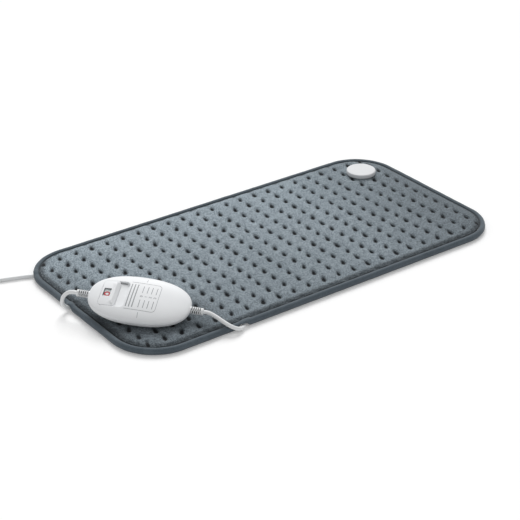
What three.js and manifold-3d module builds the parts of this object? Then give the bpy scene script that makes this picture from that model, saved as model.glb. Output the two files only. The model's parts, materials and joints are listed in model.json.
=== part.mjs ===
// Electric heating pad with a slide controller: a quilted plush pad with a piped edge, a junction
// in one corner, the controller lying on the pad and the mains lead put away beside it.
// Millimetres, +Z up, origin at the middle of the pad's underside, +X along the pad.
import * as THREE from 'three';
import { mergeVertices } from 'three/addons/utils/BufferGeometryUtils.js';
import Module from 'manifold-3d';

const wasm = await Module();
wasm.setup();
const radians = THREE.MathUtils.degToRad;

// Fits
const GAP = 0.3; // air between two pieces that touch
const CUT = 5; // how far a cutting body runs past what it cuts
const ROUND_SIDES = 24; // facets of a large round piece
const SMALL_SIDES = 12; // facets of a small one

// Pad
const PAD_LENGTH = 600;
const PAD_WIDTH = 306;
const PAD_CORNER_RADIUS = 64;
const CORNER_STEPS = 6;
const PIPING_DIAMETER = 10.2;
const PIPING_SIDES = 10;
const BOTTOM_COVER_HEIGHT = 6.1;
const FLEECE_THICKNESS = 0.4;
const TOP_COVER_HEIGHT = 2.2;
const CREASE_INSET = 9.3; // where the plush dives behind the piping
const CROWN_WIDTH = 6.4; // the rolled border of the plush
const DIMPLE_COLUMNS = 23;
const DIMPLE_ROWS = 13;
const DIMPLE_MARGIN_X = 27.97; // of the outermost dimples from the pad's ends
const DIMPLE_MARGIN_Y = 26.22; // and from its long sides
const DIMPLE_CLEARANCE = 1; // least distance of a dimple from the rolled border
const DIMPLE_RADIUS = 4.4;
const DIMPLE_FLOOR = 0.6; // fabric left under a sewn dimple
const DIMPLE_TURN_X = 37; // degrees that the pucker turns from column to column
const DIMPLE_TURN_Y = 61; // and from row to row

// Heating wire
const WIRE_DIAMETER = 1;
const WIRE_SIDES = 5;
const WIRE_RUNS = 12;
const WIRE_MARGIN = 38; // from the pad's end to the straight part of a run
const WIRE_RETURN_MARGIN = 20; // from the pad's end to the return run
const WIRE_TURN_STEPS = 6;

// Junction under the white cap
const JUNCTION_INSET_X = 55.2; // from the pad's end
const JUNCTION_INSET_Y = 60.75; // from the pad's long side
const CAP_RADIUS = 21.5;
const CAP_HEIGHT = 5.9;
const CAP_EDGE_RADIUS = 1.8;
const CAP_EDGE_STEPS = 4;
const CAP_SIDES = 32;
const SPIGOT_RADIUS = 11.6;
const SPIGOT_WALL = 1.8;
const LEAD_HEADING = 30.5; // degrees, of the pad lead where it comes in
const LEAD_RUN = 53.6; // its last straight run, from the junction's middle
const BASE_RADIUS = 17;
const BASE_WALL = 2;
const BASE_FLOOR = 1.5;
const CARRIER_HEIGHT = 3.6;
const CLIP_LENGTH = 9;
const CLIP_WIDTH = 3.4;
const CLIP_THICKNESS = 0.8;
const CLIP_OFFSET = 6;
const CUTOUT_LENGTH = 11;
const CUTOUT_RADIUS = 1.9;

// Controller case
const CASE_LENGTH = 131;
const CASE_WIDTH = 76.5;
const CASE_TOP_HEIGHT = 9.8;
const CASE_BOTTOM_HEIGHT = 13;
const CASE_WALL = 2;
const CASE_EXPONENT = 2.3; // fullness of the oval, 2 is an ellipse
const CASE_SIDES = 36;
const CASE_RINGS = 7;
const CASE_CROWN_FLAT = 0.02; // the crown ends in a tiny flat, as a share of the oval
const HOLLOW_SIDES = 28;
const HOLLOW_RINGS = 5;
const CASE_INSET_X = 58.65; // of its middle from the pad's end
const CASE_INSET_Y = 91.27; // and from the pad's long side
const CASE_HEADING = -47.5; // degrees, of the long axis
const CASE_PITCH = 3.5; // degrees, pad lead end down
const CASE_ROLL = 17.6; // degrees, it leans on its round belly towards the front
const PARTING_GAP = 0.3;

// Slide switch and its track
const SLIDE_TRAVEL = 11.4;
const TRACK_START = -49.2; // x of the track's outer end
const TRACK_Y = 0; // of the track's middle
const TRACK_WIDTH = 41.6;
const TRACK_CORNER = 5;
const TRACK_FLOOR = 5.4; // height of the track floor over the parting plane
const TRACK_FLOOR_THICKNESS = 1.7;
const SLIDER_LENGTH = 21.2;
const SLIDER_PROUD = 0.2; // how far the slider's crown stands over the case
const RIDGE_CREST_X = 17.4; // crest of the thumb ridge from the slider's outer end
const RIDGE_HEIGHT = 10.6; // of the crest over the parting plane
const RIDGE_RAMP = 5; // length of the ramp up to the crest
const RIDGE_FOOT_HEIGHT = 8.6; // of the ramp's foot
const RIDGE_TOE_HEIGHT = 1.4; // of the slider's inner end
const RIDGE_WIDTH = 36;
const WINDOW_X = 7.5; // centre of the window from the slider's outer end
const WINDOW_LENGTH = 9.2;
const WINDOW_WIDTH = 12.8;
const SCALE_MARGIN = 0.8; // of the number inlay round the window
const SCALE_THICKNESS = 1.6;
const SCALE_PROUD = 1; // how far the inlay stands over the track floor
const STEM_LENGTH = 5;
const STEM_WIDTH = 1;
const STEM_X = 14.5; // centre of the stem from the slider's outer end
const STEM_INSET = 1; // of the stem's middle from the track's long side
const STEM_CLEARANCE = 0.35;

// Contact carriage under the track
const CARRIAGE_LENGTH = 11;
const CARRIAGE_WIDTH = 10.5;
const CARRIAGE_HEIGHT = 2.6;
const CARRIAGE_OFFSET = 3.3; // of its middle from the stem's
const SOCKET_DEPTH = 1.7;
const WIPER_WIDTH = 3.6;
const WIPER_THICKNESS = 0.4;
const WIPER_OFFSET = 2.5;
const DETENT_WIDTH = 1.8;
const DETENT_OFFSET = 7.3;
const DETENT_THICKNESS = 0.6;
const DETENT_NOTCH = 0.8;
const DETENT_STEPS = 3;

// Circuit board and what stands on it
const BOARD_LENGTH = 82;
const BOARD_WIDTH = 42;
const BOARD_THICKNESS = 1.6;
const BOARD_TOP = -4.4; // height over the parting plane
const BOARD_X = 0.5;
const BOARD_CORNER = 3;
const BOARD_POST_RADIUS = 2.4;
const BOARD_POST_X = 30;
const BOARD_POST_Y = 15;
const CONTACT_PLATE_WIDTH = 5;
const CONTACT_PLATE_THICKNESS = 0.7;
const TRIAC_X = 8;
const TRIAC_Y = -13;
const TRIAC_BODY_LENGTH = 9.2;
const TRIAC_TAB_LENGTH = 6;
const TRIAC_WIDTH = 10;
const TRIAC_HEIGHT = 4.4;
const TRIAC_TAB_HEIGHT = 1.3;
const CAPACITOR_X = 17;
const CAPACITOR_Y = 11;
const CAPACITOR_LENGTH = 18;
const CAPACITOR_WIDTH = 9;
const CAPACITOR_HEIGHT = 8;
const CAPACITOR_CORNER = 1;
const FUSE_X = -14;
const FUSE_Y = -4;
const FUSE_LENGTH = 20;
const FUSE_RADIUS = 2.5;
const FUSE_CAP_LENGTH = 5;
const FUSE_GLASS_RADIUS = 2.2;
const TERMINAL_LENGTH = 8;
const TERMINAL_WIDTH = 16;
const TERMINAL_HEIGHT = 6.2;
const TERMINAL_CLAMP_HEIGHT = 3.4;
const TERMINAL_CHAMFER = 2.4;
const MAINS_TERMINAL_X = -31.5;
const MAINS_TERMINAL_Y = -6;
const PAD_TERMINAL_X = 34;
const PAD_TERMINAL_Y = 0;
const CORE_DIAMETER = 1.6;
const CORE_SPACING = 4;
const CORE_SIDES = 6;
const CORE_STEPS = 6;

// Case screws
const SCREW_PLACES = [[-30, 28], [-30, -28], [50, 12], [50, -12]];
const SCREW_SHANK_RADIUS = 1.2;
const SCREW_HEAD_RADIUS = 2.8;
const SCREW_HEAD_HEIGHT = 2.2;
const SCREW_DEPTH = -4.4; // height of the head's seat over the parting plane
const SCREW_REACH = 2.6; // how far the shank runs into the upper post
const SCREW_BOSS_RADIUS = 4.4;
const SCREW_POST_RADIUS = 3.4;

// Cords and strain reliefs
const CORD_DIAMETER = 5.2;
const CORD_SIDES = 8;
const CORD_REST = CORD_DIAMETER / 2 + 0.15; // height of a cord's middle on the table
const MAINS_STEPS = 40;
const PAD_LEAD_STEPS = 46;
const TAIL_STEPS = 6;
const CHANNEL_CLEARANCE = 0.35;
const CHANNEL_DROP = 1;
const RELIEF_LENGTH = 15.5; // outside the case
const RELIEF_RADIUS = 4.7;
const RELIEF_GROOVE_RADIUS = 3.6;
const RELIEF_RIBS = 5;
const RELIEF_RIB_LENGTH = 1.7;
const RELIEF_COLLAR_LENGTH = 3;
const RELIEF_HEIGHT = -2; // of its axis over the parting plane
const RELIEF_FLANGE_RADIUS = 5.6;
const RELIEF_FLANGE_LENGTH = 2.4;
const RELIEF_INNER_END = 47; // |x| of the flange's inner face
const RELIEF_SIDES = 10;

// Points that the leads pass, from the pad's front corner; those without a height lie on the table
const MAINS_POINTS = [
  [-2.7, 159.6, 31.5],
  [-6.1, 163.1, 27.9],
  [-8.4, 165.6, 22.9],
  [-8.9, 167.1, 17.2],
  [-7.2, 167.9, 11.4],
  [-3.3, 168.1, 6.9],
  [2.2, 168.4, 4.2],
  [9, 169.9, 2.9],
  [16.8, 173.4],
  [23.7, 180.4],
  [28, 191],
  [30, 207],
  [30.5, 225],
  [29, 241],
  [23.5, 255],
  [13.5, 266],
  [0, 273.6],
  [-18, 280.6],
  [-36, 286.6, 2.9],
  [-52, 291.6, 3.5],
];
const PAD_LEAD_POINTS = [
  [120.2, 24, 20.9],
  [123.2, 17.9, 18.6],
  [125.9, 11.8, 16.1],
  [128.5, 5.9, 13.6],
  [131.6, 0.9, 11.2],
  [135.5, -2.6, 8.8],
  [140.2, -4.2, 6.4],
  [145.3, -3.5, 4.6],
  [150.4, -0.5, 3.5],
  [157.6, 5.8, 2.8],
  [170, 16.8],
  [200, 37.8],
  [250, 69.6],
  [300, 99.6],
  [350, 129.6],
  [400, 159.6],
];

// Coil of the spare mains lead
const COIL_X = -63; // from the pad's front corner
const COIL_Y = 339;
const COIL_OUTER_RADIUS = 41.5;
const COIL_PITCH = 5.7; // from turn to turn and from layer to layer
const COIL_START_ANGLE = 251.8; // degrees, where the lead comes in
const COIL_TURNS_IN = 3.5;
const COIL_CLIMB_TURNS = 0.5;
const COIL_TURNS_OUT = 3.2;
const COIL_STEPS = 24; // per turn
const COIL_SIDES = 6;
const COIL_LEAST_GAP = 0.4;
const TIE_THICKNESS = 0.8;
const TIE_WIDTH = 6;
const TIE_CORNER = 3;
const TIE_ANGLE = 118; // degrees

// Flat two-pin plug
const PLUG_LENGTH = 36;
const PLUG_WIDTH = 26;
const PLUG_THICKNESS = 14;
const PLUG_NECK_WIDTH = 14;
const PLUG_SHOULDER = 11; // length of the tapered rear
const PLUG_BEVEL = 1.5;
const PLUG_BEVEL_STEPS = 2;
const PLUG_PIN_RADIUS = 2;
const PLUG_PIN_LENGTH = 19;
const PLUG_PIN_SPACING = 18.6;
const PLUG_PIN_TIP = 1;
const PLUG_X = -103; // from the pad's front corner
const PLUG_Y = 381; // where its strain relief begins
const PLUG_RELIEF_LENGTH = 20;
const PLUG_RELIEF_RADIUS = 4.4;

// Places on the pad
const cornerX = -PAD_LENGTH / 2; // the front corner
const cornerY = -PAD_WIDTH / 2;
const junctionX = PAD_LENGTH / 2 - JUNCTION_INSET_X;
const junctionY = PAD_WIDTH / 2 - JUNCTION_INSET_Y;
const dimplePitchX = (PAD_LENGTH - 2 * DIMPLE_MARGIN_X) / (DIMPLE_COLUMNS - 1);
const dimplePitchY = (PAD_WIDTH - 2 * DIMPLE_MARGIN_Y) / (DIMPLE_ROWS - 1);

// Heights of the pad's layers
const fleeceBottom = BOTTOM_COVER_HEIGHT + GAP;
const fleeceTop = fleeceBottom + FLEECE_THICKNESS;
const wireHeight = fleeceTop + GAP + WIRE_DIAMETER / 2;
const coverBottom = wireHeight + WIRE_DIAMETER / 2 + GAP;
const plushTop = coverBottom + TOP_COVER_HEIGHT;

// Finishes
const finish = (color, roughness, metalness = 0) =>
  new THREE.MeshStandardMaterial({ color, roughness, metalness });
const PLUSH = 0x7f8990;
const BINDING = 0x565f66;
const WHITE_PLASTIC = 0xf1f2f3;
const WHITE_CORD = 0xeceded;
const STEEL = 0xb9bcc0;
const BRASS = 0xc9a64e;

// A closed geometry from points and triangles.
function meshOf(points, triangles) {
  const geometry = new THREE.BufferGeometry().setFromPoints(points);
  geometry.setIndex(triangles);
  geometry.computeVertexNormals();
  return geometry;
}

// A geometry as a solid for joining and cutting.
function solid(geometry) {
  const bare = geometry.index ? geometry.toNonIndexed() : geometry.clone();
  bare.deleteAttribute('normal');
  bare.deleteAttribute('uv');
  const merged = mergeVertices(bare, 1e-4);
  const vertProperties = merged.attributes.position.array;
  const triVerts = new Uint32Array(merged.index.array);
  return new wasm.Manifold(new wasm.Mesh({ numProp: 3, vertProperties, triVerts }));
}

// A solid back as a geometry.
function geometryOf(body) {
  const mesh = body.getMesh();
  const geometry = new THREE.BufferGeometry();
  geometry.setAttribute('position', new THREE.BufferAttribute(mesh.vertProperties, mesh.numProp));
  geometry.setIndex(new THREE.BufferAttribute(mesh.triVerts, 1));
  geometry.computeVertexNormals();
  return geometry;
}

// Rings of points joined in order, with a flat cap at each end, or closed on itself.
function loft(rings, closed = false) {
  const count = rings[0].length;
  const points = rings.flat();
  const triangles = [];
  const joins = closed ? rings.length : rings.length - 1;
  for (let ring = 0; ring < joins; ring += 1) {
    const lower = ring * count;
    const upper = ((ring + 1) % rings.length) * count;
    for (let i = 0; i < count; i += 1) {
      const next = (i + 1) % count;
      triangles.push(lower + i, lower + next, upper + next);
      triangles.push(lower + i, upper + next, upper + i);
    }
  }
  if (!closed) {
    const last = (rings.length - 1) * count;
    for (let i = 1; i < count - 1; i += 1) {
      triangles.push(0, i + 1, i);
      triangles.push(last, last + i, last + i + 1);
    }
  }
  return meshOf(points, triangles);
}

// A box between two corners.
function block(x0, x1, y0, y1, z0, z1) {
  const geometry = new THREE.BoxGeometry(x1 - x0, y1 - y0, z1 - z0);
  return geometry.translate((x0 + x1) / 2, (y0 + y1) / 2, (z0 + z1) / 2);
}

// A rounded rectangle about the origin.
function roundedRectangle(length, width, radius) {
  const x = length / 2;
  const y = width / 2;
  const shape = new THREE.Shape();
  shape.absarc(x - radius, y - radius, radius, 0, Math.PI / 2);
  shape.absarc(radius - x, y - radius, radius, Math.PI / 2, Math.PI);
  shape.absarc(radius - x, radius - y, radius, Math.PI, 1.5 * Math.PI);
  shape.absarc(x - radius, radius - y, radius, 1.5 * Math.PI, 2 * Math.PI);
  return shape;
}

// A flat shape raised from z0 to z1.
function slab(shape, z0, z1, curveSegments = 4) {
  const geometry = new THREE.ExtrudeGeometry(shape, { depth: z1 - z0, bevelEnabled: false, curveSegments });
  return geometry.translate(0, 0, z0);
}

// An outline of [along x, height] pairs carried across y from y0 to y1.
function rail(outline, y0, y1) {
  const shape = new THREE.Shape(outline.map(([x, z]) => new THREE.Vector2(x, z)));
  const geometry = new THREE.ExtrudeGeometry(shape, { depth: y1 - y0, bevelEnabled: false });
  return geometry.rotateX(Math.PI / 2).translate(0, y1, 0);
}

// A profile of [radius, height] pairs turned about the z axis.
function turned(profile, sides) {
  const points = profile.map(([radius, height]) => new THREE.Vector2(radius, height));
  return new THREE.LatheGeometry(points, sides).rotateX(Math.PI / 2);
}

// A cylinder on the z axis.
function drum(radius, z0, z1, sides = SMALL_SIDES) {
  return turned([[0, z0], [radius, z0], [radius, z1], [0, z1]], sides);
}

// A regular section of a cord, with its flats at least the radius from the middle.
function cordSection(radius, sides) {
  const corners = [];
  for (let i = 0; i < sides; i += 1) {
    const angle = ((i + 0.5) / sides) * 2 * Math.PI;
    corners.push(new THREE.Vector2(radius * Math.cos(angle), radius * Math.sin(angle)));
  }
  return new THREE.Shape(corners);
}

// A tube of a given radius along a smooth route.
function cordTube(route, radius, steps, sides = CORD_SIDES) {
  const extrudePath = new THREE.CatmullRomCurve3(route, false, 'centripetal');
  return new THREE.ExtrudeGeometry(cordSection(radius, sides), { extrudePath, steps });
}

// A tube through points on a nearly level route, one ring of corners at each point.
function levelTube(route, radius, sides) {
  const rings = route.map((point, i) => {
    const before = route[Math.max(i - 1, 0)];
    const after = route[Math.min(i + 1, route.length - 1)];
    const along = after.clone().sub(before).normalize();
    const across = new THREE.Vector3(0, 0, 1).cross(along).normalize();
    const up = along.clone().cross(across);
    const ring = [];
    for (let side = 0; side < sides; side += 1) {
      const angle = ((side + 0.5) / sides) * 2 * Math.PI;
      const corner = point.clone().addScaledVector(across, radius * Math.cos(angle));
      ring.push(corner.addScaledVector(up, radius * Math.sin(angle)));
    }
    return ring;
  });
  return loft(rings);
}

const part = new THREE.Group();

// Adds one named piece to a group.
function add(group, name, geometry, material) {
  const mesh = new THREE.Mesh(geometry, material);
  mesh.name = name;
  group.add(mesh);
  return mesh;
}

// The pad's outline drawn in by an inset, anticlockwise, at a height.
function padRing(inset, height) {
  const radius = PAD_CORNER_RADIUS - inset;
  const x = PAD_LENGTH / 2 - PAD_CORNER_RADIUS;
  const y = PAD_WIDTH / 2 - PAD_CORNER_RADIUS;
  const centres = [[x, y], [-x, y], [-x, -y], [x, -y]];
  return centres.flatMap(([cx, cy], corner) => {
    const arc = [];
    for (let step = 0; step <= CORNER_STEPS; step += 1) {
      const angle = ((corner + step / CORNER_STEPS) * Math.PI) / 2;
      arc.push(new THREE.Vector3(cx + radius * Math.cos(angle), cy + radius * Math.sin(angle), height));
    }
    return arc;
  });
}

// How far a place lies inside the pad's outline.
function depthInPad(x, y) {
  const overX = Math.max(Math.abs(x) - (PAD_LENGTH / 2 - PAD_CORNER_RADIUS), 0);
  const overY = Math.max(Math.abs(y) - (PAD_WIDTH / 2 - PAD_CORNER_RADIUS), 0);
  return PAD_CORNER_RADIUS - Math.hypot(overX, overY);
}

// A sheet with the pad's outline and a round hole for the junction.
function padSheet(inset, z0, z1, holeRadius) {
  const shape = new THREE.Shape(padRing(inset, 0).map((p) => new THREE.Vector2(p.x, p.y)));
  const hole = new THREE.Path();
  hole.absarc(junctionX, junctionY, holeRadius, 0, 2 * Math.PI, true);
  shape.holes.push(hole);
  return slab(shape, z0, z1, SMALL_SIDES);
}

// The controller's place: it leans on the plush with its round belly.
const controller = new THREE.Group();
controller.rotation.set(radians(CASE_ROLL), radians(CASE_PITCH), radians(CASE_HEADING), 'ZYX');

// One half of the case's oval, raised from the parting plane to a crown; skirt runs it below the plane.
function oval(length, width, height, skirt = 0, sides = CASE_SIDES, steps = CASE_RINGS) {
  const power = 2 / CASE_EXPONENT;
  const ringAt = (share, z) => {
    const ring = [];
    for (let i = 0; i < sides; i += 1) {
      const angle = (i / sides) * 2 * Math.PI;
      const bow = (value) => Math.sign(value) * Math.abs(value) ** power;
      const x = (length / 2) * share * bow(Math.cos(angle));
      const y = (width / 2) * share * bow(Math.sin(angle));
      ring.push(new THREE.Vector3(x, y, z));
    }
    return ring;
  };
  const rings = skirt > 0 ? [ringAt(1, -skirt)] : [];
  for (let step = 0; step < steps; step += 1) {
    const angle = (step / steps) * (Math.PI / 2);
    rings.push(ringAt(Math.cos(angle) ** power, height * Math.sin(angle) ** power));
  }
  rings.push(ringAt(CASE_CROWN_FLAT, height));
  return loft(rings);
}

const bellyGeometry = oval(CASE_LENGTH, CASE_WIDTH, CASE_BOTTOM_HEIGHT).rotateX(Math.PI);
const bellyPoints = bellyGeometry.attributes.position;
let bellyDepth = 0;
for (let i = 0; i < bellyPoints.count; i += 1) {
  const point = new THREE.Vector3().fromBufferAttribute(bellyPoints, i).applyEuler(controller.rotation);
  bellyDepth = Math.max(bellyDepth, -point.z);
}
const caseHeight = plushTop + GAP + bellyDepth + PARTING_GAP / 2;
controller.position.set(cornerX + CASE_INSET_X, cornerY + CASE_INSET_Y, caseHeight);
controller.updateMatrixWorld(true);
part.add(controller);

// A point of the controller's own frame in the pad's frame.
const fromCase = (x, y, z) => controller.localToWorld(new THREE.Vector3(x, y, z));

// Cord routes. Both leads leave the controller, go over the piping and on under the pad.
// Their points are measured from the pad's front corner.
const at = (x, y, z = CORD_REST) => new THREE.Vector3(cornerX + x, cornerY + y, z);
const reliefEnd = CASE_LENGTH / 2 + RELIEF_LENGTH;

// Coil: spirals in on the table, climbs a layer on its inmost half turn and spirals out on top.
const innermostRadius = COIL_OUTER_RADIUS - (COIL_TURNS_IN + COIL_CLIMB_TURNS / 2) * COIL_PITCH;

function coilRoute() {
  const total = COIL_TURNS_IN + COIL_CLIMB_TURNS + COIL_TURNS_OUT;
  const steps = Math.round(total * COIL_STEPS);
  const low = TIE_THICKNESS + 2 * GAP + CORD_DIAMETER / 2;
  const route = [];
  for (let step = 0; step <= steps; step += 1) {
    const turn = (step / steps) * total;
    const climb = THREE.MathUtils.clamp((turn - COIL_TURNS_IN) / COIL_CLIMB_TURNS, 0, 1);
    const fromMiddle = Math.abs(turn - COIL_TURNS_IN - COIL_CLIMB_TURNS / 2);
    const radius = innermostRadius + fromMiddle * COIL_PITCH;
    const angle = radians(COIL_START_ANGLE) - turn * 2 * Math.PI;
    const x = COIL_X + radius * Math.cos(angle);
    const y = COIL_Y + radius * Math.sin(angle);
    route.push(at(x, y, low + COIL_PITCH * THREE.MathUtils.smoothstep(climb, 0, 1)));
  }
  return route;
}

// Runs a route's two ends straight for one cord diameter.
function straightEnds(route) {
  const first = route[0].clone().sub(route[1]).setLength(CORD_DIAMETER).add(route[0]);
  const last = route.at(-1).clone().sub(route.at(-2)).setLength(CORD_DIAMETER).add(route.at(-1));
  return [first, ...route, last];
}

const coil = straightEnds(coilRoute());
const coilHeading = coil[1].clone().sub(coil[0]).normalize();
const coilStart = coil[0].clone().addScaledVector(coilHeading, -GAP);

const mainsRoute = [
  fromCase(-reliefEnd - GAP, 0, RELIEF_HEIGHT),
  fromCase(-reliefEnd - GAP - CORD_DIAMETER, 0, RELIEF_HEIGHT),
  ...MAINS_POINTS.map((point) => at(...point)),
  coilStart.clone().addScaledVector(coilHeading, -CORD_DIAMETER),
  coilStart,
];

const padLeadRoute = [
  fromCase(reliefEnd + GAP, 0, RELIEF_HEIGHT),
  fromCase(reliefEnd + GAP + CORD_DIAMETER, 0, RELIEF_HEIGHT),
  ...PAD_LEAD_POINTS.map((point) => at(...point)),
];

// The pad lead runs straight into the wall of the junction's base.
const leadEntry = new THREE.Vector2(-Math.cos(radians(LEAD_HEADING)), -Math.sin(radians(LEAD_HEADING)));
const entryRadius = BASE_RADIUS - BASE_WALL + GAP;
for (const distance of [LEAD_RUN, (LEAD_RUN + entryRadius) / 2, entryRadius]) {
  const x = junctionX + leadEntry.x * distance;
  const y = junctionY + leadEntry.y * distance;
  padLeadRoute.push(new THREE.Vector3(x, y, CORD_REST));
}

// A channel for a cord, set a little lower than the cord so that it is open to the table.
function channel(route, steps) {
  const flats = CORD_DIAMETER / 2 + CHANNEL_DROP + CHANNEL_CLEARANCE;
  const tunnel = solid(cordTube(route, flats / Math.cos(Math.PI / CORD_SIDES), steps));
  return tunnel.translate([0, 0, -CHANNEL_DROP]);
}

const mainsChannel = channel(mainsRoute, MAINS_STEPS);
const padLeadChannel = channel(padLeadRoute, PAD_LEAD_STEPS);

// Round bound edge: the pad's outline carried round a circle.
function pipingGeometry() {
  const radius = PIPING_DIAMETER / 2;
  const rings = [];
  for (let side = 0; side < PIPING_SIDES; side += 1) {
    const angle = (side / PIPING_SIDES) * 2 * Math.PI;
    const lift = radius * Math.cos(Math.PI / PIPING_SIDES);
    rings.push(padRing(radius - radius * Math.cos(angle), lift + radius * Math.sin(angle)));
  }
  const bead = solid(loft(rings, true));
  return geometryOf(bead.subtract(mainsChannel).subtract(padLeadChannel));
}

// Lower cover with its wadding and the two channels that the cords press into it.
function bottomCoverGeometry() {
  const inset = PIPING_DIAMETER + GAP;
  const sheet = solid(padSheet(inset, 0, BOTTOM_COVER_HEIGHT, BASE_RADIUS + GAP));
  return geometryOf(sheet.subtract(mainsChannel).subtract(padLeadChannel));
}

// Plush cover: a crowned sheet with three-sided dimples sewn down into it.
function topCoverGeometry() {
  const HOLE_SIDES = 6;
  const holeRadius = (SPIGOT_RADIUS + GAP) / Math.cos(Math.PI / HOLE_SIDES);
  const corner = (cx, cy, radius, sides, turn, z) => {
    const ring = [];
    for (let i = 0; i < sides; i += 1) {
      const angle = turn - (i / sides) * 2 * Math.PI;
      ring.push(new THREE.Vector3(cx + radius * Math.cos(angle), cy + radius * Math.sin(angle), z));
    }
    return ring;
  };
  const crown = padRing(CREASE_INSET + CROWN_WIDTH, plushTop);
  const hole = corner(junctionX, junctionY, holeRadius, HOLE_SIDES, 0, plushTop);
  const border = CREASE_INSET + CROWN_WIDTH + DIMPLE_RADIUS + DIMPLE_CLEARANCE;
  const dimples = [];
  for (let column = 0; column < DIMPLE_COLUMNS; column += 1) {
    for (let row = 0; row < DIMPLE_ROWS; row += 1) {
      const x = (column - (DIMPLE_COLUMNS - 1) / 2) * dimplePitchX;
      const y = (row - (DIMPLE_ROWS - 1) / 2) * dimplePitchY;
      const fromJunction = Math.hypot(x - junctionX, y - junctionY);
      const turn = radians(column * DIMPLE_TURN_X + row * DIMPLE_TURN_Y);
      if (fromJunction < CAP_RADIUS || depthInPad(x, y) < border) continue;
      dimples.push(corner(x, y, DIMPLE_RADIUS, 3, turn, plushTop));
    }
  }
  const holes = [hole, ...dimples];
  const flat = (ring) => ring.map((p) => new THREE.Vector2(p.x, p.y));
  const faces = THREE.ShapeUtils.triangulateShape(flat(crown), holes.map(flat));
  const points = [...crown, ...holes.flat()];
  const triangles = faces.flat();
  let first = crown.length + HOLE_SIDES;
  for (const dimple of dimples) {
    const foot = dimple[0].clone().add(dimple[1]).add(dimple[2]).divideScalar(3);
    foot.z = coverBottom + DIMPLE_FLOOR;
    points.push(foot);
    for (let i = 0; i < 3; i += 1) triangles.push(first + i, points.length - 1, first + ((i + 1) % 3));
    first += 3;
  }
  const hem = padRing(CREASE_INSET, coverBottom);
  const lowerHole = hole.map((p) => new THREE.Vector3(p.x, p.y, coverBottom));
  const hemFirst = points.length;
  points.push(...hem, ...lowerHole);
  for (let i = 0; i < hem.length; i += 1) {
    const next = (i + 1) % hem.length;
    triangles.push(i, hemFirst + i, hemFirst + next, i, hemFirst + next, next);
  }
  const lowerFirst = hemFirst + hem.length;
  for (let i = 0; i < HOLE_SIDES; i += 1) {
    const next = (i + 1) % HOLE_SIDES;
    const top = crown.length + i;
    const topNext = crown.length + next;
    triangles.push(top, lowerFirst + i, lowerFirst + next, top, lowerFirst + next, topNext);
  }
  for (const [a, b, c] of THREE.ShapeUtils.triangulateShape(flat(hem), [flat(lowerHole)])) {
    triangles.push(hemFirst + a, hemFirst + c, hemFirst + b);
  }
  return meshOf(points, triangles);
}

// Heating wire: runs between the dimple rows, short beside the junction, and back along the end.
function heatingWireGeometry() {
  const radius = dimplePitchY / 2;
  const end = PAD_LENGTH / 2 - WIRE_MARGIN;
  const shortEnd = junctionX - BASE_RADIUS - radius - WIRE_DIAMETER - 3 * GAP;
  const returnX = PAD_LENGTH / 2 - WIRE_RETURN_MARGIN;
  const runY = (run) => (run - (WIRE_RUNS - 1) / 2) * dimplePitchY;
  const route = [];
  const arc = (cx, cy, r, from, to) => {
    const steps = Math.max(2, Math.round((WIRE_TURN_STEPS * Math.abs(to - from)) / 180));
    for (let step = 0; step <= steps; step += 1) {
      const angle = radians(from + ((to - from) * step) / steps);
      route.push(new THREE.Vector3(cx + r * Math.cos(angle), cy + r * Math.sin(angle), wireHeight));
    }
  };
  const wallGap = BASE_RADIUS + GAP;
  const top = runY(WIRE_RUNS - 1);
  const bend = top - junctionY - wallGap - WIRE_DIAMETER;
  route.push(new THREE.Vector3(junctionX, junctionY + wallGap, wireHeight));
  arc(junctionX - bend, top - bend, bend, 0, 90);
  for (let run = WIRE_RUNS - 1; run > 0; run -= 1) {
    const y = (runY(run) + runY(run - 1)) / 2;
    const leftward = (WIRE_RUNS - 1 - run) % 2 === 0;
    const besideJunction = Math.abs(y - junctionY) < BASE_RADIUS + radius;
    if (leftward) arc(-end, y, radius, 90, 270);
    else arc(besideJunction ? shortEnd : end, y, radius, 90, -90);
  }
  arc(returnX - radius, runY(0) + radius, radius, -90, 0);
  arc(returnX - radius, junctionY - radius, radius, 0, 90);
  route.push(new THREE.Vector3(junctionX + wallGap, junctionY, wireHeight));
  return levelTube(route, WIRE_DIAMETER / 2, WIRE_SIDES);
}

function buildPad() {
  add(part, 'pad_bottom_cover', bottomCoverGeometry(), finish(BINDING, 0.95));
  add(part, 'edge_piping', pipingGeometry(), finish(BINDING, 0.95));
  const fleece = padSheet(PIPING_DIAMETER + GAP, fleeceBottom, fleeceTop, BASE_RADIUS + GAP);
  add(part, 'element_fleece', fleece, finish(0xd9d7cf, 1));
  add(part, 'heating_wire', heatingWireGeometry(), finish(0xb8402f, 0.6));
  add(part, 'pad_top_cover', topCoverGeometry(), finish(PLUSH, 1));
}

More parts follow.
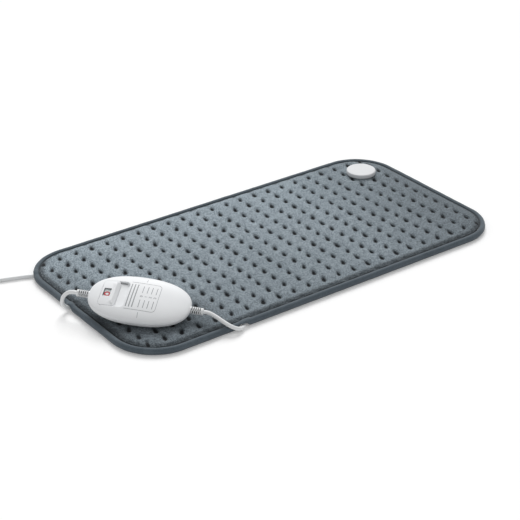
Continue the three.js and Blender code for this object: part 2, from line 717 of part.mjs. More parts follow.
// Junction: a cup in the pad's thickness, its terminals, and the cap that clamps the plush to it.
function buildJunction() {
  const junction = new THREE.Group();
  junction.position.set(junctionX, junctionY, 0);
  part.add(junction);

  const baseTop = coverBottom - GAP;
  const inner = BASE_RADIUS - BASE_WALL;
  const cup = solid(turned([
    [0, GAP], [BASE_RADIUS, GAP], [BASE_RADIUS, baseTop], [inner, baseTop], [inner, GAP + BASE_FLOOR],
    [0, GAP + BASE_FLOOR],
  ], ROUND_SIDES));
  const notch = solid(drum(CORD_DIAMETER / 2 + CHANNEL_CLEARANCE, 0, BASE_RADIUS + CUT, CORD_SIDES));
  const heading = THREE.MathUtils.radToDeg(leadEntry.angle());
  const notchPlaced = notch.rotate([0, 90, heading]).translate([0, 0, CORD_REST]);
  const core = solid(drum(inner - BASE_WALL, -CUT, coverBottom, ROUND_SIDES));
  add(junction, 'junction_base', geometryOf(cup.subtract(notchPlaced.subtract(core))), finish(0x2b2d2f, 0.6));

  const carrierBottom = GAP + BASE_FLOOR + GAP;
  const carrierTop = carrierBottom + CARRIER_HEIGHT;
  const carrierRadius = inner - 2 * GAP;
  const disc = solid(drum(carrierRadius, carrierBottom, carrierTop, ROUND_SIDES));
  const gutter = solid(block(-carrierRadius, carrierRadius, -CUTOUT_RADIUS, CUTOUT_RADIUS,
    carrierTop - CUTOUT_RADIUS, carrierTop + CUT));
  add(junction, 'junction_carrier', geometryOf(disc.subtract(gutter)), finish(0xd8c9a4, 0.6));
  for (const [index, side] of [1, -1].entries()) {
    const clip = block(-CLIP_LENGTH / 2, CLIP_LENGTH / 2, side * CLIP_OFFSET - CLIP_WIDTH / 2,
      side * CLIP_OFFSET + CLIP_WIDTH / 2, carrierTop + GAP, carrierTop + GAP + CLIP_THICKNESS);
    add(junction, `junction_clip_${index + 1}`, clip, finish(BRASS, 0.35, 1));
  }
  const cutout = drum(CUTOUT_RADIUS - GAP, -CUTOUT_LENGTH / 2, CUTOUT_LENGTH / 2).rotateY(Math.PI / 2);
  cutout.translate(0, 0, carrierTop);
  add(junction, 'thermal_cutout', cutout, finish(0xe7e3d6, 0.5));

  const capBottom = plushTop + GAP;
  const capTop = capBottom + CAP_HEIGHT;
  const spigotBottom = carrierTop + GAP;
  const spigotInner = SPIGOT_RADIUS - SPIGOT_WALL;
  const rim = CAP_RADIUS - CAP_EDGE_RADIUS;
  const edge = [];
  for (let step = 0; step <= CAP_EDGE_STEPS; step += 1) {
    const angle = (step / CAP_EDGE_STEPS) * (Math.PI / 2);
    edge.push([rim + CAP_EDGE_RADIUS * Math.cos(angle), capTop - CAP_EDGE_RADIUS * (1 - Math.sin(angle))]);
  }
  const cap = turned([
    [0, capBottom], [spigotInner, capBottom], [spigotInner, spigotBottom], [SPIGOT_RADIUS, spigotBottom],
    [SPIGOT_RADIUS, capBottom], [CAP_RADIUS, capBottom], ...edge, [0, capTop],
  ], CAP_SIDES);
  add(junction, 'junction_cap', cap, finish(WHITE_PLASTIC, 0.35));
}

// Places along the track, in the controller's frame.
const trackEnd = TRACK_START + SLIDER_LENGTH + SLIDE_TRAVEL + 2 * GAP;
const trackMiddle = (TRACK_START + trackEnd) / 2;
const floorUnder = TRACK_FLOOR - TRACK_FLOOR_THICKNESS;
const sliderStart = TRACK_START + GAP;
const sliderEnd = sliderStart + SLIDER_LENGTH;
const sliderBottom = TRACK_FLOOR + GAP;
const windowX = sliderStart + WINDOW_X;
const scaleTop = TRACK_FLOOR + SCALE_PROUD;
const stemX = sliderStart + STEM_X;
const stemY = TRACK_Y + TRACK_WIDTH / 2 - STEM_INSET;
const carriageTop = floorUnder - GAP;
const carriageBottom = carriageTop - CARRIAGE_HEIGHT;
const half = PARTING_GAP / 2;

// The room inside one half of the case.
function hollow(height) {
  const length = CASE_LENGTH - 2 * CASE_WALL;
  const width = CASE_WIDTH - 2 * CASE_WALL;
  return oval(length, width, height - CASE_WALL, CUT, HOLLOW_SIDES, HOLLOW_RINGS);
}

// The two holes that the strain reliefs leave by, cut through both shells.
function reliefHoles() {
  const hole = solid(drum(RELIEF_RADIUS + GAP, RELIEF_INNER_END - CUT, reliefEnd).rotateY(Math.PI / 2));
  const right = hole.translate([0, 0, RELIEF_HEIGHT]);
  const left = solid(drum(RELIEF_RADIUS + GAP, -reliefEnd, CUT - RELIEF_INNER_END).rotateY(Math.PI / 2));
  return right.add(left.translate([0, 0, RELIEF_HEIGHT]));
}

// Upper shell with the sunk track, the slot of the slider's stem and the seat of the number inlay.
function topShellGeometry() {
  const outer = solid(oval(CASE_LENGTH, CASE_WIDTH, CASE_TOP_HEIGHT)).translate([0, 0, half]);
  const inner = hollow(CASE_TOP_HEIGHT);
  const side = TRACK_WIDTH / 2 + CASE_WALL;
  const tray = solid(block(TRACK_START - CASE_WALL, trackEnd + CASE_WALL, TRACK_Y - side, TRACK_Y + side,
    floorUnder, CASE_TOP_HEIGHT + CUT));
  let cavity = solid(inner).translate([0, 0, half]).subtract(tray);
  for (const [x, y] of SCREW_PLACES) {
    const post = solid(drum(SCREW_POST_RADIUS, half, CASE_TOP_HEIGHT + CUT).translate(x, y, 0));
    const bore = solid(drum(SCREW_SHANK_RADIUS + GAP, -CUT, SCREW_REACH + 2 * GAP).translate(x, y, 0));
    cavity = cavity.subtract(post).add(bore);
  }
  const track = slab(roundedRectangle(trackEnd - TRACK_START, TRACK_WIDTH, TRACK_CORNER),
    TRACK_FLOOR, CASE_TOP_HEIGHT + CUT).translate(trackMiddle, TRACK_Y, 0);
  const slot = block(stemX - STEM_LENGTH / 2 - STEM_CLEARANCE,
    stemX + STEM_LENGTH / 2 + STEM_CLEARANCE + SLIDE_TRAVEL, stemY - STEM_WIDTH / 2 - STEM_CLEARANCE,
    stemY + STEM_WIDTH / 2 + STEM_CLEARANCE, floorUnder - CUT, CASE_TOP_HEIGHT);
  const seat = windowBlock(SCALE_MARGIN + GAP, scaleTop - SCALE_THICKNESS - GAP, CASE_TOP_HEIGHT);
  const shell = outer.subtract(cavity).subtract(solid(track)).subtract(solid(slot)).subtract(solid(seat));
  return geometryOf(shell.subtract(reliefHoles()));
}

// A block under the window's place at rest, larger than the window by a margin all round.
function windowBlock(margin, z0, z1) {
  const length = WINDOW_LENGTH / 2 + margin;
  const width = WINDOW_WIDTH / 2 + margin;
  return block(windowX - length, windowX + length, TRACK_Y - width, TRACK_Y + width, z0, z1);
}

// Lower shell: round belly, screw bosses with sunk heads and posts for the board.
function bottomShellGeometry() {
  const outer = solid(bellyGeometry).translate([0, 0, -half]);
  const inner = hollow(CASE_BOTTOM_HEIGHT).rotateX(Math.PI);
  let cavity = solid(inner).translate([0, 0, -half]);
  for (const [x, y] of SCREW_PLACES) {
    const boss = solid(drum(SCREW_BOSS_RADIUS, -CASE_BOTTOM_HEIGHT - CUT, -half).translate(x, y, 0));
    cavity = cavity.subtract(boss);
  }
  const boardUnder = BOARD_TOP - BOARD_THICKNESS - GAP;
  for (const x of [BOARD_X - BOARD_POST_X, BOARD_X + BOARD_POST_X]) {
    for (const y of [-BOARD_POST_Y, BOARD_POST_Y]) {
      const post = drum(BOARD_POST_RADIUS, -CASE_BOTTOM_HEIGHT - CUT, boardUnder).translate(x, y, 0);
      cavity = cavity.subtract(solid(post));
    }
  }
  let shell = outer.subtract(cavity);
  for (const [x, y] of SCREW_PLACES) {
    const sink = turned([[0, -CASE_BOTTOM_HEIGHT - CUT], [SCREW_HEAD_RADIUS + GAP, -CASE_BOTTOM_HEIGHT - CUT],
      [SCREW_HEAD_RADIUS + GAP, SCREW_DEPTH], [SCREW_SHANK_RADIUS + GAP, SCREW_DEPTH],
      [SCREW_SHANK_RADIUS + GAP, CUT], [0, CUT]], SMALL_SIDES);
    shell = shell.subtract(solid(sink.translate(x, y, 0)));
  }
  return geometryOf(shell.subtract(reliefHoles()));
}

// Slider: a crowned plate with a window, a thumb ridge that slopes to its inner end, a stem, and a
// groove underneath that lets it pass over the number inlay.
function sliderGeometry() {
  const crown = solid(oval(CASE_LENGTH + 2 * SLIDER_PROUD, CASE_WIDTH + 2 * SLIDER_PROUD,
    CASE_TOP_HEIGHT + SLIDER_PROUD)).translate([0, 0, half]);
  const width = TRACK_WIDTH - 2 * GAP;
  const plate = solid(slab(roundedRectangle(SLIDER_LENGTH, width, TRACK_CORNER - GAP), sliderBottom,
    CASE_TOP_HEIGHT + CUT).translate((sliderStart + sliderEnd) / 2, TRACK_Y, 0));
  const crestX = sliderStart + RIDGE_CREST_X;
  const toe = sliderBottom + RIDGE_TOE_HEIGHT;
  const ridge = solid(rail([[crestX - RIDGE_RAMP, sliderBottom], [sliderEnd, sliderBottom], [sliderEnd, toe],
    [crestX, RIDGE_HEIGHT], [crestX - RIDGE_RAMP, RIDGE_FOOT_HEIGHT]],
  TRACK_Y - RIDGE_WIDTH / 2, TRACK_Y + RIDGE_WIDTH / 2));
  const slope = solid(rail([[crestX, RIDGE_HEIGHT], [sliderEnd, toe], [sliderEnd + CUT, toe],
    [sliderEnd + CUT, RIDGE_HEIGHT + CUT], [crestX, RIDGE_HEIGHT + CUT]],
  TRACK_Y - TRACK_WIDTH, TRACK_Y + TRACK_WIDTH));
  const opening = solid(windowBlock(0, sliderBottom - CUT, CASE_TOP_HEIGHT + CUT));
  const stem = block(stemX - STEM_LENGTH / 2, stemX + STEM_LENGTH / 2, stemY - STEM_WIDTH / 2,
    stemY + STEM_WIDTH / 2, carriageTop - SOCKET_DEPTH + GAP, sliderBottom + GAP);
  const grooveEnd = windowX + WINDOW_LENGTH / 2 + SCALE_MARGIN + GAP;
  const grooveSide = WINDOW_WIDTH / 2 + SCALE_MARGIN + GAP;
  const groove = solid(block(sliderStart - CUT, grooveEnd, TRACK_Y - grooveSide, TRACK_Y + grooveSide,
    sliderBottom - CUT, scaleTop + GAP));
  const cap = plate.intersect(crown).subtract(slope).add(ridge.intersect(plate));
  return geometryOf(cap.subtract(opening).subtract(groove).add(solid(stem)));
}

// What moves with the slider under the track floor.
function buildCarriage() {
  const x0 = stemX - CARRIAGE_LENGTH / 2;
  const y0 = stemY - CARRIAGE_OFFSET - CARRIAGE_WIDTH / 2;
  const body = block(x0, x0 + CARRIAGE_LENGTH, y0, y0 + CARRIAGE_WIDTH, carriageBottom, carriageTop);
  const socket = block(stemX - STEM_LENGTH / 2 - GAP, stemX + STEM_LENGTH / 2 + GAP,
    stemY - STEM_WIDTH / 2 - GAP, stemY + STEM_WIDTH / 2 + GAP, carriageTop - SOCKET_DEPTH,
    carriageTop + CUT);
  add(controller, 'contact_carriage', geometryOf(solid(body).subtract(solid(socket))), finish(0x3a3d40, 0.5));

  const seat = carriageBottom - GAP;
  const wiperY = stemY - WIPER_OFFSET;
  const tip = BOARD_TOP + GAP + CONTACT_PLATE_THICKNESS + GAP;
  const rise = seat - tip;
  const wiper = rail([
    [x0 + GAP, seat], [x0 + GAP, seat - WIPER_THICKNESS], [x0 + CARRIAGE_LENGTH / 2, seat - WIPER_THICKNESS],
    [x0 + CARRIAGE_LENGTH / 2 + rise, tip], [x0 + CARRIAGE_LENGTH / 2 + rise + 2 * WIPER_THICKNESS, tip],
    [x0 + CARRIAGE_LENGTH / 2 + rise + 2 * WIPER_THICKNESS, tip + WIPER_THICKNESS],
    [x0 + CARRIAGE_LENGTH / 2 + rise, tip + WIPER_THICKNESS], [x0 + CARRIAGE_LENGTH / 2, seat],
  ], wiperY - WIPER_WIDTH / 2, wiperY + WIPER_WIDTH / 2);
  add(controller, 'contact_wiper', wiper, finish(BRASS, 0.35, 1));
}

// Notched strip that gives the slider its four places, standing on the board.
function detentGeometry() {
  const step = SLIDE_TRAVEL / DETENT_STEPS;
  const top = carriageBottom - GAP;
  const foot = BOARD_TOP + GAP;
  const start = stemX - CARRIAGE_LENGTH / 2;
  const end = start + SLIDE_TRAVEL + CARRIAGE_LENGTH;
  const upper = [];
  const lower = [];
  for (let place = 0; place <= DETENT_STEPS; place += 1) {
    const x = stemX + place * step;
    for (const [offset, drop] of [[-DETENT_NOTCH, 0], [0, DETENT_NOTCH], [DETENT_NOTCH, 0]]) {
      upper.push([x + offset, top - drop]);
      lower.unshift([x + offset, top - drop - DETENT_THICKNESS]);
    }
  }
  const leg = DETENT_THICKNESS;
  const under = top - DETENT_THICKNESS;
  const outline = [[start, foot], [start, top], ...upper, [end, top], [end, foot], [end - leg, foot],
    [end - leg, under], ...lower, [start + leg, under], [start + leg, foot]];
  const y = stemY - DETENT_OFFSET;
  return rail(outline.reverse(), y - DETENT_WIDTH / 2, y + DETENT_WIDTH / 2);
}

// The board with the parts that the controller needs to regulate the heat.
function buildBoard() {
  const board = slab(roundedRectangle(BOARD_LENGTH, BOARD_WIDTH, BOARD_CORNER), BOARD_TOP - BOARD_THICKNESS,
    BOARD_TOP).translate(BOARD_X, 0, 0);
  add(controller, 'circuit_board', board, finish(0x3c6b45, 0.6));
  const seat = BOARD_TOP + GAP;

  const plateStart = stemX - CARRIAGE_LENGTH / 2 + DETENT_THICKNESS + GAP;
  const plateY = stemY - WIPER_OFFSET;
  const boardStart = BOARD_X - BOARD_LENGTH / 2;
  const plate = block(Math.max(plateStart, boardStart), stemX + SLIDE_TRAVEL + CARRIAGE_LENGTH,
    plateY - CONTACT_PLATE_WIDTH / 2, plateY + CONTACT_PLATE_WIDTH / 2, seat, seat + CONTACT_PLATE_THICKNESS);
  add(controller, 'contact_plate', plate, finish(BRASS, 0.35, 1));
  add(controller, 'detent_strip', detentGeometry(), finish(STEEL, 0.35, 1));

  const triac = rail([[0, 0], [TRIAC_BODY_LENGTH + TRIAC_TAB_LENGTH, 0],
    [TRIAC_BODY_LENGTH + TRIAC_TAB_LENGTH, TRIAC_TAB_HEIGHT], [TRIAC_BODY_LENGTH, TRIAC_TAB_HEIGHT],
    [TRIAC_BODY_LENGTH, TRIAC_HEIGHT], [0, TRIAC_HEIGHT]], -TRIAC_WIDTH / 2, TRIAC_WIDTH / 2);
  add(controller, 'triac', triac.translate(TRIAC_X, TRIAC_Y, seat), finish(0x1f2022, 0.5));

  const capacitor = slab(roundedRectangle(CAPACITOR_LENGTH, CAPACITOR_WIDTH, CAPACITOR_CORNER), seat,
    seat + CAPACITOR_HEIGHT);
  capacitor.translate(CAPACITOR_X, CAPACITOR_Y, 0);
  add(controller, 'suppressor_capacitor', capacitor, finish(0xd8b13a, 0.5));

  const ends = FUSE_LENGTH / 2;
  const glass = ends - FUSE_CAP_LENGTH;
  const fuse = turned([[0, -ends], [FUSE_RADIUS, -ends], [FUSE_RADIUS, -glass], [FUSE_GLASS_RADIUS, -glass],
    [FUSE_GLASS_RADIUS, glass], [FUSE_RADIUS, glass], [FUSE_RADIUS, ends], [0, ends]],
  SMALL_SIDES).rotateY(Math.PI / 2);
  add(controller, 'glass_fuse', fuse.translate(FUSE_X, FUSE_Y, seat + FUSE_RADIUS), finish(STEEL, 0.3, 0.5));

  const terminal = (x, y, inward) => {
    const outline = [[0, 0], [TERMINAL_LENGTH, 0], [TERMINAL_LENGTH, TERMINAL_CLAMP_HEIGHT],
      [TERMINAL_LENGTH - TERMINAL_CHAMFER, TERMINAL_HEIGHT], [0, TERMINAL_HEIGHT]];
    const geometry = rail(outline, -TERMINAL_WIDTH / 2, TERMINAL_WIDTH / 2);
    geometry.translate(-TERMINAL_LENGTH / 2, 0, 0);
    if (inward) geometry.rotateZ(Math.PI);
    return geometry.translate(x, y, seat);
  };
  const green = finish(0x3f7f6a, 0.5);
  add(controller, 'mains_terminal', terminal(MAINS_TERMINAL_X, MAINS_TERMINAL_Y, true), green);
  add(controller, 'pad_terminal', terminal(PAD_TERMINAL_X, PAD_TERMINAL_Y, false), green);
}

// Wire ends between a strain relief and its terminal.
function buildCores() {
  const clampHeight = BOARD_TOP + GAP + TERMINAL_CLAMP_HEIGHT / 2;
  const relief = RELIEF_INNER_END - GAP;
  const core = (side, terminalX, terminalY, lane) => {
    const reach = terminalX + side * (TERMINAL_LENGTH / 2 + GAP);
    const y = terminalY + lane * CORE_SPACING;
    const start = side * relief;
    const lanes = lane * (CORE_DIAMETER / 2 + GAP);
    return cordTube([
      new THREE.Vector3(start, lanes, RELIEF_HEIGHT),
      new THREE.Vector3(start - side * CORE_DIAMETER, lanes, RELIEF_HEIGHT),
      new THREE.Vector3(reach + side * CORE_DIAMETER, y, clampHeight),
      new THREE.Vector3(reach, y, clampHeight),
    ], CORE_DIAMETER / 2, CORE_STEPS, CORE_SIDES);
  };
  const brown = finish(0x6b3f22, 0.5);
  const blue = finish(0x2d5fa8, 0.5);
  add(controller, 'live_core', core(-1, MAINS_TERMINAL_X, MAINS_TERMINAL_Y, 1), brown);
  add(controller, 'neutral_core', core(-1, MAINS_TERMINAL_X, MAINS_TERMINAL_Y, -1), blue);
  add(controller, 'pad_core_1', core(1, PAD_TERMINAL_X, PAD_TERMINAL_Y, 1), brown);
  add(controller, 'pad_core_2', core(1, PAD_TERMINAL_X, PAD_TERMINAL_Y, -1), blue);
}

// Ribbed sleeve on the x axis, from its inner face to the cord's end.
function reliefProfile(start, ribsStart, end, radius) {
  const profile = [[0, start]];
  if (ribsStart > start) {
    profile.push([RELIEF_FLANGE_RADIUS, start], [RELIEF_FLANGE_RADIUS, start + RELIEF_FLANGE_LENGTH]);
    profile.push([radius, start + RELIEF_FLANGE_LENGTH]);
  } else {
    profile.push([radius, start]);
  }
  const pitch = (end - RELIEF_COLLAR_LENGTH - ribsStart) / RELIEF_RIBS;
  const grooveRadius = radius - (RELIEF_RADIUS - RELIEF_GROOVE_RADIUS);
  for (let rib = 0; rib < RELIEF_RIBS; rib += 1) {
    const x = ribsStart + rib * pitch + RELIEF_RIB_LENGTH;
    const next = ribsStart + (rib + 1) * pitch;
    profile.push([radius, x], [grooveRadius, x], [grooveRadius, next], [radius, next]);
  }
  profile.push([radius, end], [0, end]);
  return profile;
}

function buildReliefs() {
  const ribsStart = CASE_LENGTH / 2 - RELIEF_RIB_LENGTH;
  const profile = reliefProfile(RELIEF_INNER_END, ribsStart, reliefEnd, RELIEF_RADIUS);
  const white = finish(WHITE_CORD, 0.5);
  const sleeve = turned(profile, RELIEF_SIDES).rotateY(Math.PI / 2).translate(0, 0, RELIEF_HEIGHT);
  add(controller, 'strain_relief_pad', sleeve, white);
  const other = turned(profile, RELIEF_SIDES).rotateY(-Math.PI / 2).translate(0, 0, RELIEF_HEIGHT);
  add(controller, 'strain_relief_mains', other, white);
}

function buildScrews() {
  const seat = SCREW_DEPTH - GAP;
  const tip = SCREW_REACH;
  for (const [index, [x, y]] of SCREW_PLACES.entries()) {
    const screw = turned([[0, seat - SCREW_HEAD_HEIGHT], [SCREW_HEAD_RADIUS, seat - SCREW_HEAD_HEIGHT],
      [SCREW_HEAD_RADIUS, seat], [SCREW_SHANK_RADIUS, seat], [SCREW_SHANK_RADIUS, tip - SCREW_SHANK_RADIUS],
      [0, tip]], SMALL_SIDES);
    add(controller, `case_screw_${index + 1}`, screw.translate(x, y, 0), finish(STEEL, 0.35, 1));
  }
}

function buildController() {
  const white = finish(WHITE_PLASTIC, 0.3);
  add(controller, 'controller_bottom_shell', bottomShellGeometry(), white);
  add(controller, 'controller_top_shell', topShellGeometry(), white);
  const scale = windowBlock(SCALE_MARGIN, scaleTop - SCALE_THICKNESS, scaleTop);
  add(controller, 'level_scale', scale, finish(0xe3efee, 0.5));
  add(controller, 'slide_switch', sliderGeometry(), finish(WHITE_PLASTIC, 0.35));
  buildCarriage();
  buildBoard();
  buildCores();
  buildReliefs();
  buildScrews();
}

// Least air between two turns of a route, measured on its points.
function leastSelfGap(route) {
  const apart = COIL_STEPS / 2;
  let least = Infinity;
  for (let i = 0; i < route.length; i += 1) {
    for (let j = i + apart; j < route.length; j += 1) {
      least = Math.min(least, route[i].distanceTo(route[j]) - CORD_DIAMETER);
    }
  }
  return least;
}

function buildMainsLead() {
  const white = finish(WHITE_CORD, 0.5);
  const gap = leastSelfGap(coil);
  console.log(`least gap between the coil's turns: ${gap.toFixed(2)} mm (over ${COIL_LEAST_GAP} mm)`);
  add(part, 'mains_coil', levelTube(coil, CORD_DIAMETER / 2, COIL_SIDES), white);

  add(part, 'mains_cord', cordTube(mainsRoute, CORD_DIAMETER / 2, MAINS_STEPS), white);

  const leaving = coil.at(-1).clone().sub(coil.at(-2)).normalize();
  const coilEnd = coil.at(-1).clone().addScaledVector(leaving, GAP);
  const axisHeight = PLUG_THICKNESS / 2 + GAP;
  add(part, 'mains_tail', cordTube([
    coilEnd,
    coilEnd.clone().addScaledVector(leaving, CORD_DIAMETER),
    at(PLUG_X, PLUG_Y - GAP - CORD_DIAMETER, axisHeight),
    at(PLUG_X, PLUG_Y - GAP, axisHeight),
  ], CORD_DIAMETER / 2, TAIL_STEPS), white);

  const inside = innermostRadius - CORD_DIAMETER / 2 - GAP;
  const outside = COIL_OUTER_RADIUS + CORD_DIAMETER / 2 + GAP;
  const height = COIL_PITCH + CORD_DIAMETER + 2 * GAP;
  const tie = roundedRectangle(outside - inside + 2 * TIE_THICKNESS, height + 2 * TIE_THICKNESS, TIE_CORNER);
  tie.holes.push(roundedRectangle(outside - inside, height, TIE_CORNER - TIE_THICKNESS));
  const band = slab(tie, -TIE_WIDTH / 2, TIE_WIDTH / 2, 3).rotateX(Math.PI / 2);
  band.translate((inside + outside) / 2, 0, TIE_THICKNESS + GAP + height / 2).rotateZ(radians(TIE_ANGLE));
  add(part, 'coil_tie', band.translate(cornerX + COIL_X, cornerY + COIL_Y, 0), finish(0x2a2b2d, 0.6));
}

// Flat plug lying on the table, its pins pointing along +Y.
function buildPlug() {
  const plug = new THREE.Group();
  plug.position.set(cornerX + PLUG_X, cornerY + PLUG_Y, PLUG_THICKNESS / 2 + GAP);
  part.add(plug);
  const white = finish(WHITE_CORD, 0.45);
  const sleeve = turned(reliefProfile(0, 0, PLUG_RELIEF_LENGTH, PLUG_RELIEF_RADIUS), RELIEF_SIDES);
  add(plug, 'plug_strain_relief', sleeve.rotateX(Math.PI / 2).translate(0, PLUG_RELIEF_LENGTH, 0), white);

  const bodyStart = PLUG_RELIEF_LENGTH + GAP;
  const side = PLUG_WIDTH / 2 - PLUG_BEVEL;
  const neck = PLUG_NECK_WIDTH / 2 - PLUG_BEVEL;
  const rear = bodyStart + PLUG_BEVEL;
  const front = bodyStart + PLUG_LENGTH - PLUG_BEVEL;
  const outline = new THREE.Shape([
    [-neck, rear], [neck, rear], [side, rear + PLUG_SHOULDER], [side, front], [-side, front],
    [-side, rear + PLUG_SHOULDER],
  ].map(([x, y]) => new THREE.Vector2(x, y)));
  const thickness = PLUG_THICKNESS - 2 * PLUG_BEVEL;
  const body = new THREE.ExtrudeGeometry(outline, {
    depth: thickness, bevelEnabled: true, bevelThickness: PLUG_BEVEL, bevelSize: PLUG_BEVEL,
    bevelSegments: PLUG_BEVEL_STEPS,
  });
  add(plug, 'plug_body', body.translate(0, 0, -thickness / 2), white);

  const pinStart = bodyStart + PLUG_LENGTH + GAP;
  for (const [index, x] of [-PLUG_PIN_SPACING / 2, PLUG_PIN_SPACING / 2].entries()) {
    const pin = turned([[0, 0], [PLUG_PIN_RADIUS, 0], [PLUG_PIN_RADIUS, PLUG_PIN_LENGTH - PLUG_PIN_TIP],
      [PLUG_PIN_RADIUS - PLUG_PIN_TIP, PLUG_PIN_LENGTH], [0, PLUG_PIN_LENGTH]], SMALL_SIDES);
    pin.rotateX(-Math.PI / 2).translate(x, pinStart, 0);
    add(plug, `plug_pin_${index + 1}`, pin, finish(STEEL, 0.3, 1));
  }
}

buildPad();
buildJunction();
buildController();
buildMainsLead();
add(part, 'pad_lead', cordTube(padLeadRoute, CORD_DIAMETER / 2, PAD_LEAD_STEPS), finish(WHITE_CORD, 0.5));
buildPlug();

export default part;
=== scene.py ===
"""Looks of a heating pad with its slide controller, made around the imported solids.

Shapes are worked out in millimetres in the pad's frame: +X along the pad, +Y across it, +Z up,
origin at the middle of its underside. Pieces of the controller use the controller's own frame.
"""
import json

import bpy
import numpy as np
from mathutils import Matrix


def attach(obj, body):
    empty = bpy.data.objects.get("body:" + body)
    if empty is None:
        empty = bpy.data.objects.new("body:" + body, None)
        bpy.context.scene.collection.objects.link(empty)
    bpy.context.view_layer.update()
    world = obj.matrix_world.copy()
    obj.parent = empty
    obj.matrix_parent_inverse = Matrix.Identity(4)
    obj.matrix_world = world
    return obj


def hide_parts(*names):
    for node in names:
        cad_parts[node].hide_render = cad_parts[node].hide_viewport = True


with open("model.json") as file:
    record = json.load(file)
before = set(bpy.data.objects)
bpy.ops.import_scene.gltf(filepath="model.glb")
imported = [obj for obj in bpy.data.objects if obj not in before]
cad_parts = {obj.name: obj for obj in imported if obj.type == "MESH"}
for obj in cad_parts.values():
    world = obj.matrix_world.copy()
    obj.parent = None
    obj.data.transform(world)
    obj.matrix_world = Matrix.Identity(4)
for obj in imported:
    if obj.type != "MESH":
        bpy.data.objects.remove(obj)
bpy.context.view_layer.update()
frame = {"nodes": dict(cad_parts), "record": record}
rng = np.random.default_rng(7)

# Camera of the photograph
CAMERA_AZIMUTH = -36.54
CAMERA_ELEVATION = 28.375
CAMERA_PLACE = (-1.1200, -1.4983, 0.9935)  # metres
CAMERA_REACH = 50  # metres
FOCAL_PIXELS = 1557.0
PHOTO_PIXELS = 520
SENSOR = 36.0

# Pad
PAD_HALF = np.array([300.0, 153.0])
PAD_CORNER = 64.0
PIPING_HALF = np.array([4.3, 4.6])  # half width and half height of the bead
PIPING_LEAN = 0.5  # of its crest, outwards
CREASE_INSET = 7.9  # from the outline to where the plush dives behind the piping
PLUSH_UNDER = 7.0  # heights of the plush's underside, of its edge at the crease and of its top
PLUSH_EDGE = 7.2
PLUSH_TOP = 10.5
ROLL_WIDTH = 20.0  # of the border that falls to the crease
ROLL_POWER = 0.75
HEM_WIDTH = 3.0  # of the plush folded back under its edge
BACK_INSET = 10.5
BACK_TOP = 6.05

# Tufts
TUFT_COUNT = np.array([23, 13])
TUFT_PITCH = np.array([24.73, 21.13])
TUFT_DEPTH = 4.1
TUFT_HALF = np.array([2.75, 3.2, 8.6])  # of the pit: across, its steep end, its long end
TUFT_AHEAD = 1.0  # of the pit's lowest point before the tuft's place, towards the steep end
TUFT_TURN = -20.0  # of the pits' long axis from the pad's width, in degrees
TUFT_SHOULDER = 8.0
TUFT_SHARES = (0.78, 0.22)  # of the depth: the pit's and the shoulder's
TUFT_BORDER = 11.0  # least distance of a tuft from the pad's outline
TUFT_STRAY = 0.5  # how far a tuft is out of line
TUFT_SIZES = (0.88, 1.14)
TUFT_SWING = 12  # of the pits' angles, in degrees
WIRE_TURN = 262.0  # beyond this |x| the heating wire turns below the tufts
WIRE_TOP = 8.25  # so the pits end at this height there
LEAST_PLUSH = 0.15  # thickness under a pit elsewhere
TUFT_GRID = (  # lines between tufts, distances of the lines beside a tuft
    (3, np.array([0.9, 1.8, 2.7, 3.8, 5.2, 7.0])),
    (2, np.array([1.0, 2.0, 3.0, 4.0, 5.2, 6.8])),
)
EDGE_LINES = 15  # of the grid across the rolled border

# Junction cap
JUNCTION = np.array([244.8, 92.25])
CAP_RADIUS = 21.5
CAP_BOTTOM = 10.9
CAP_TOP = 16.8
CAP_EDGE = 1.8
CAP_FOOT = np.array([[0.5, 0], [20.4, 0], [21.2, 0.3], [CAP_RADIUS, 1.0]])  # radius, height
CAP_DOME = np.array([[14, 0.1], [7, 0.15], [0.5, 0.17]])
CAP_GRID = (9, 96)  # rings of the rounded edge, points of a ring

# Controller
CASE_PLACE = np.array([-241.35, -61.73, 29.351])
CASE_HEADING = -47.5
CASE_PITCH = 3.5
CASE_ROLL = 17.6
CASE_HALF = np.array([65.5, 38.25])
CASE_TOP = 9.8
CASE_BOTTOM = 13.0
CASE_WALL = 2.0
CASE_INNER = CASE_HALF - CASE_WALL
CASE_POWER = 2.3  # fullness of the oval, 2 is an ellipse
CASE_SHARP = 35  # degrees between faces that show as an edge
PARTING = 0.15  # half the joint between the two shells
TRACK_MIDDLE = np.array([-32.6, 0.0])
TRACK_SIZE = np.array([33.2, 41.6])
TRACK_CORNER = 5.0
TRACK_LIP = 0.45  # rounding of the crown's edge round the track
TRACK_WALL = (4.0, 5.0)  # height of the wall's foot, greatest height of the skin behind it
TRACK_FLOOR = 5.4  # heights of the floor's top and underside
TRACK_UNDER = 3.7
LIP_SHARE = 0.3  # of a lip's width at the middle of its rounding
FLAT_SHARP = 30  # degrees, as CASE_SHARP, for flat pieces

# Slider
SLIDER_START = -48.9
SLIDER_SIZE = np.array([21.2, 41.0])
SLIDER_CORNER = 4.7
SLIDER_LIP = 0.3
SLIDER_BOTTOM = 5.75
SLIDER_PROUD = 0.2
SLIDE_TRAVEL = 11.4
RIDGE_PROFILE = np.array([  # along the slider, height: start, foot, crest, toe, end
    [0, 5.5], [12.4, 8.5], [16.6, 10.3], [21.2, 6.6], [24, 6.0]])
RIDGE_STEPS = 481
RIDGE_ROUNDING = 71  # steps over which its corners are rounded
RIDGE_SIDES = (18.6, 13.0)  # |y| where it ends and where it is full
RIDGE_RISE = 9  # more than it stands above the crown
WINDOW_MIDDLE = np.array([-41.4, 0.0])
WINDOW_SIZE = np.array([9.2, 12.8])
SCALE_SIZE = np.array([11.4, 15.0])  # seat of the number inlay
SCALE_SEAT = 0.9  # its depth
SCALE_TOP = 6.4
GROOVE_TOP = 6.75  # of the groove under the slider that passes over the inlay
GROOVE_HALF = 12.0  # half width of its mouth in the slider's outer end
GROOVE_MOUTH = 1.0  # and its length
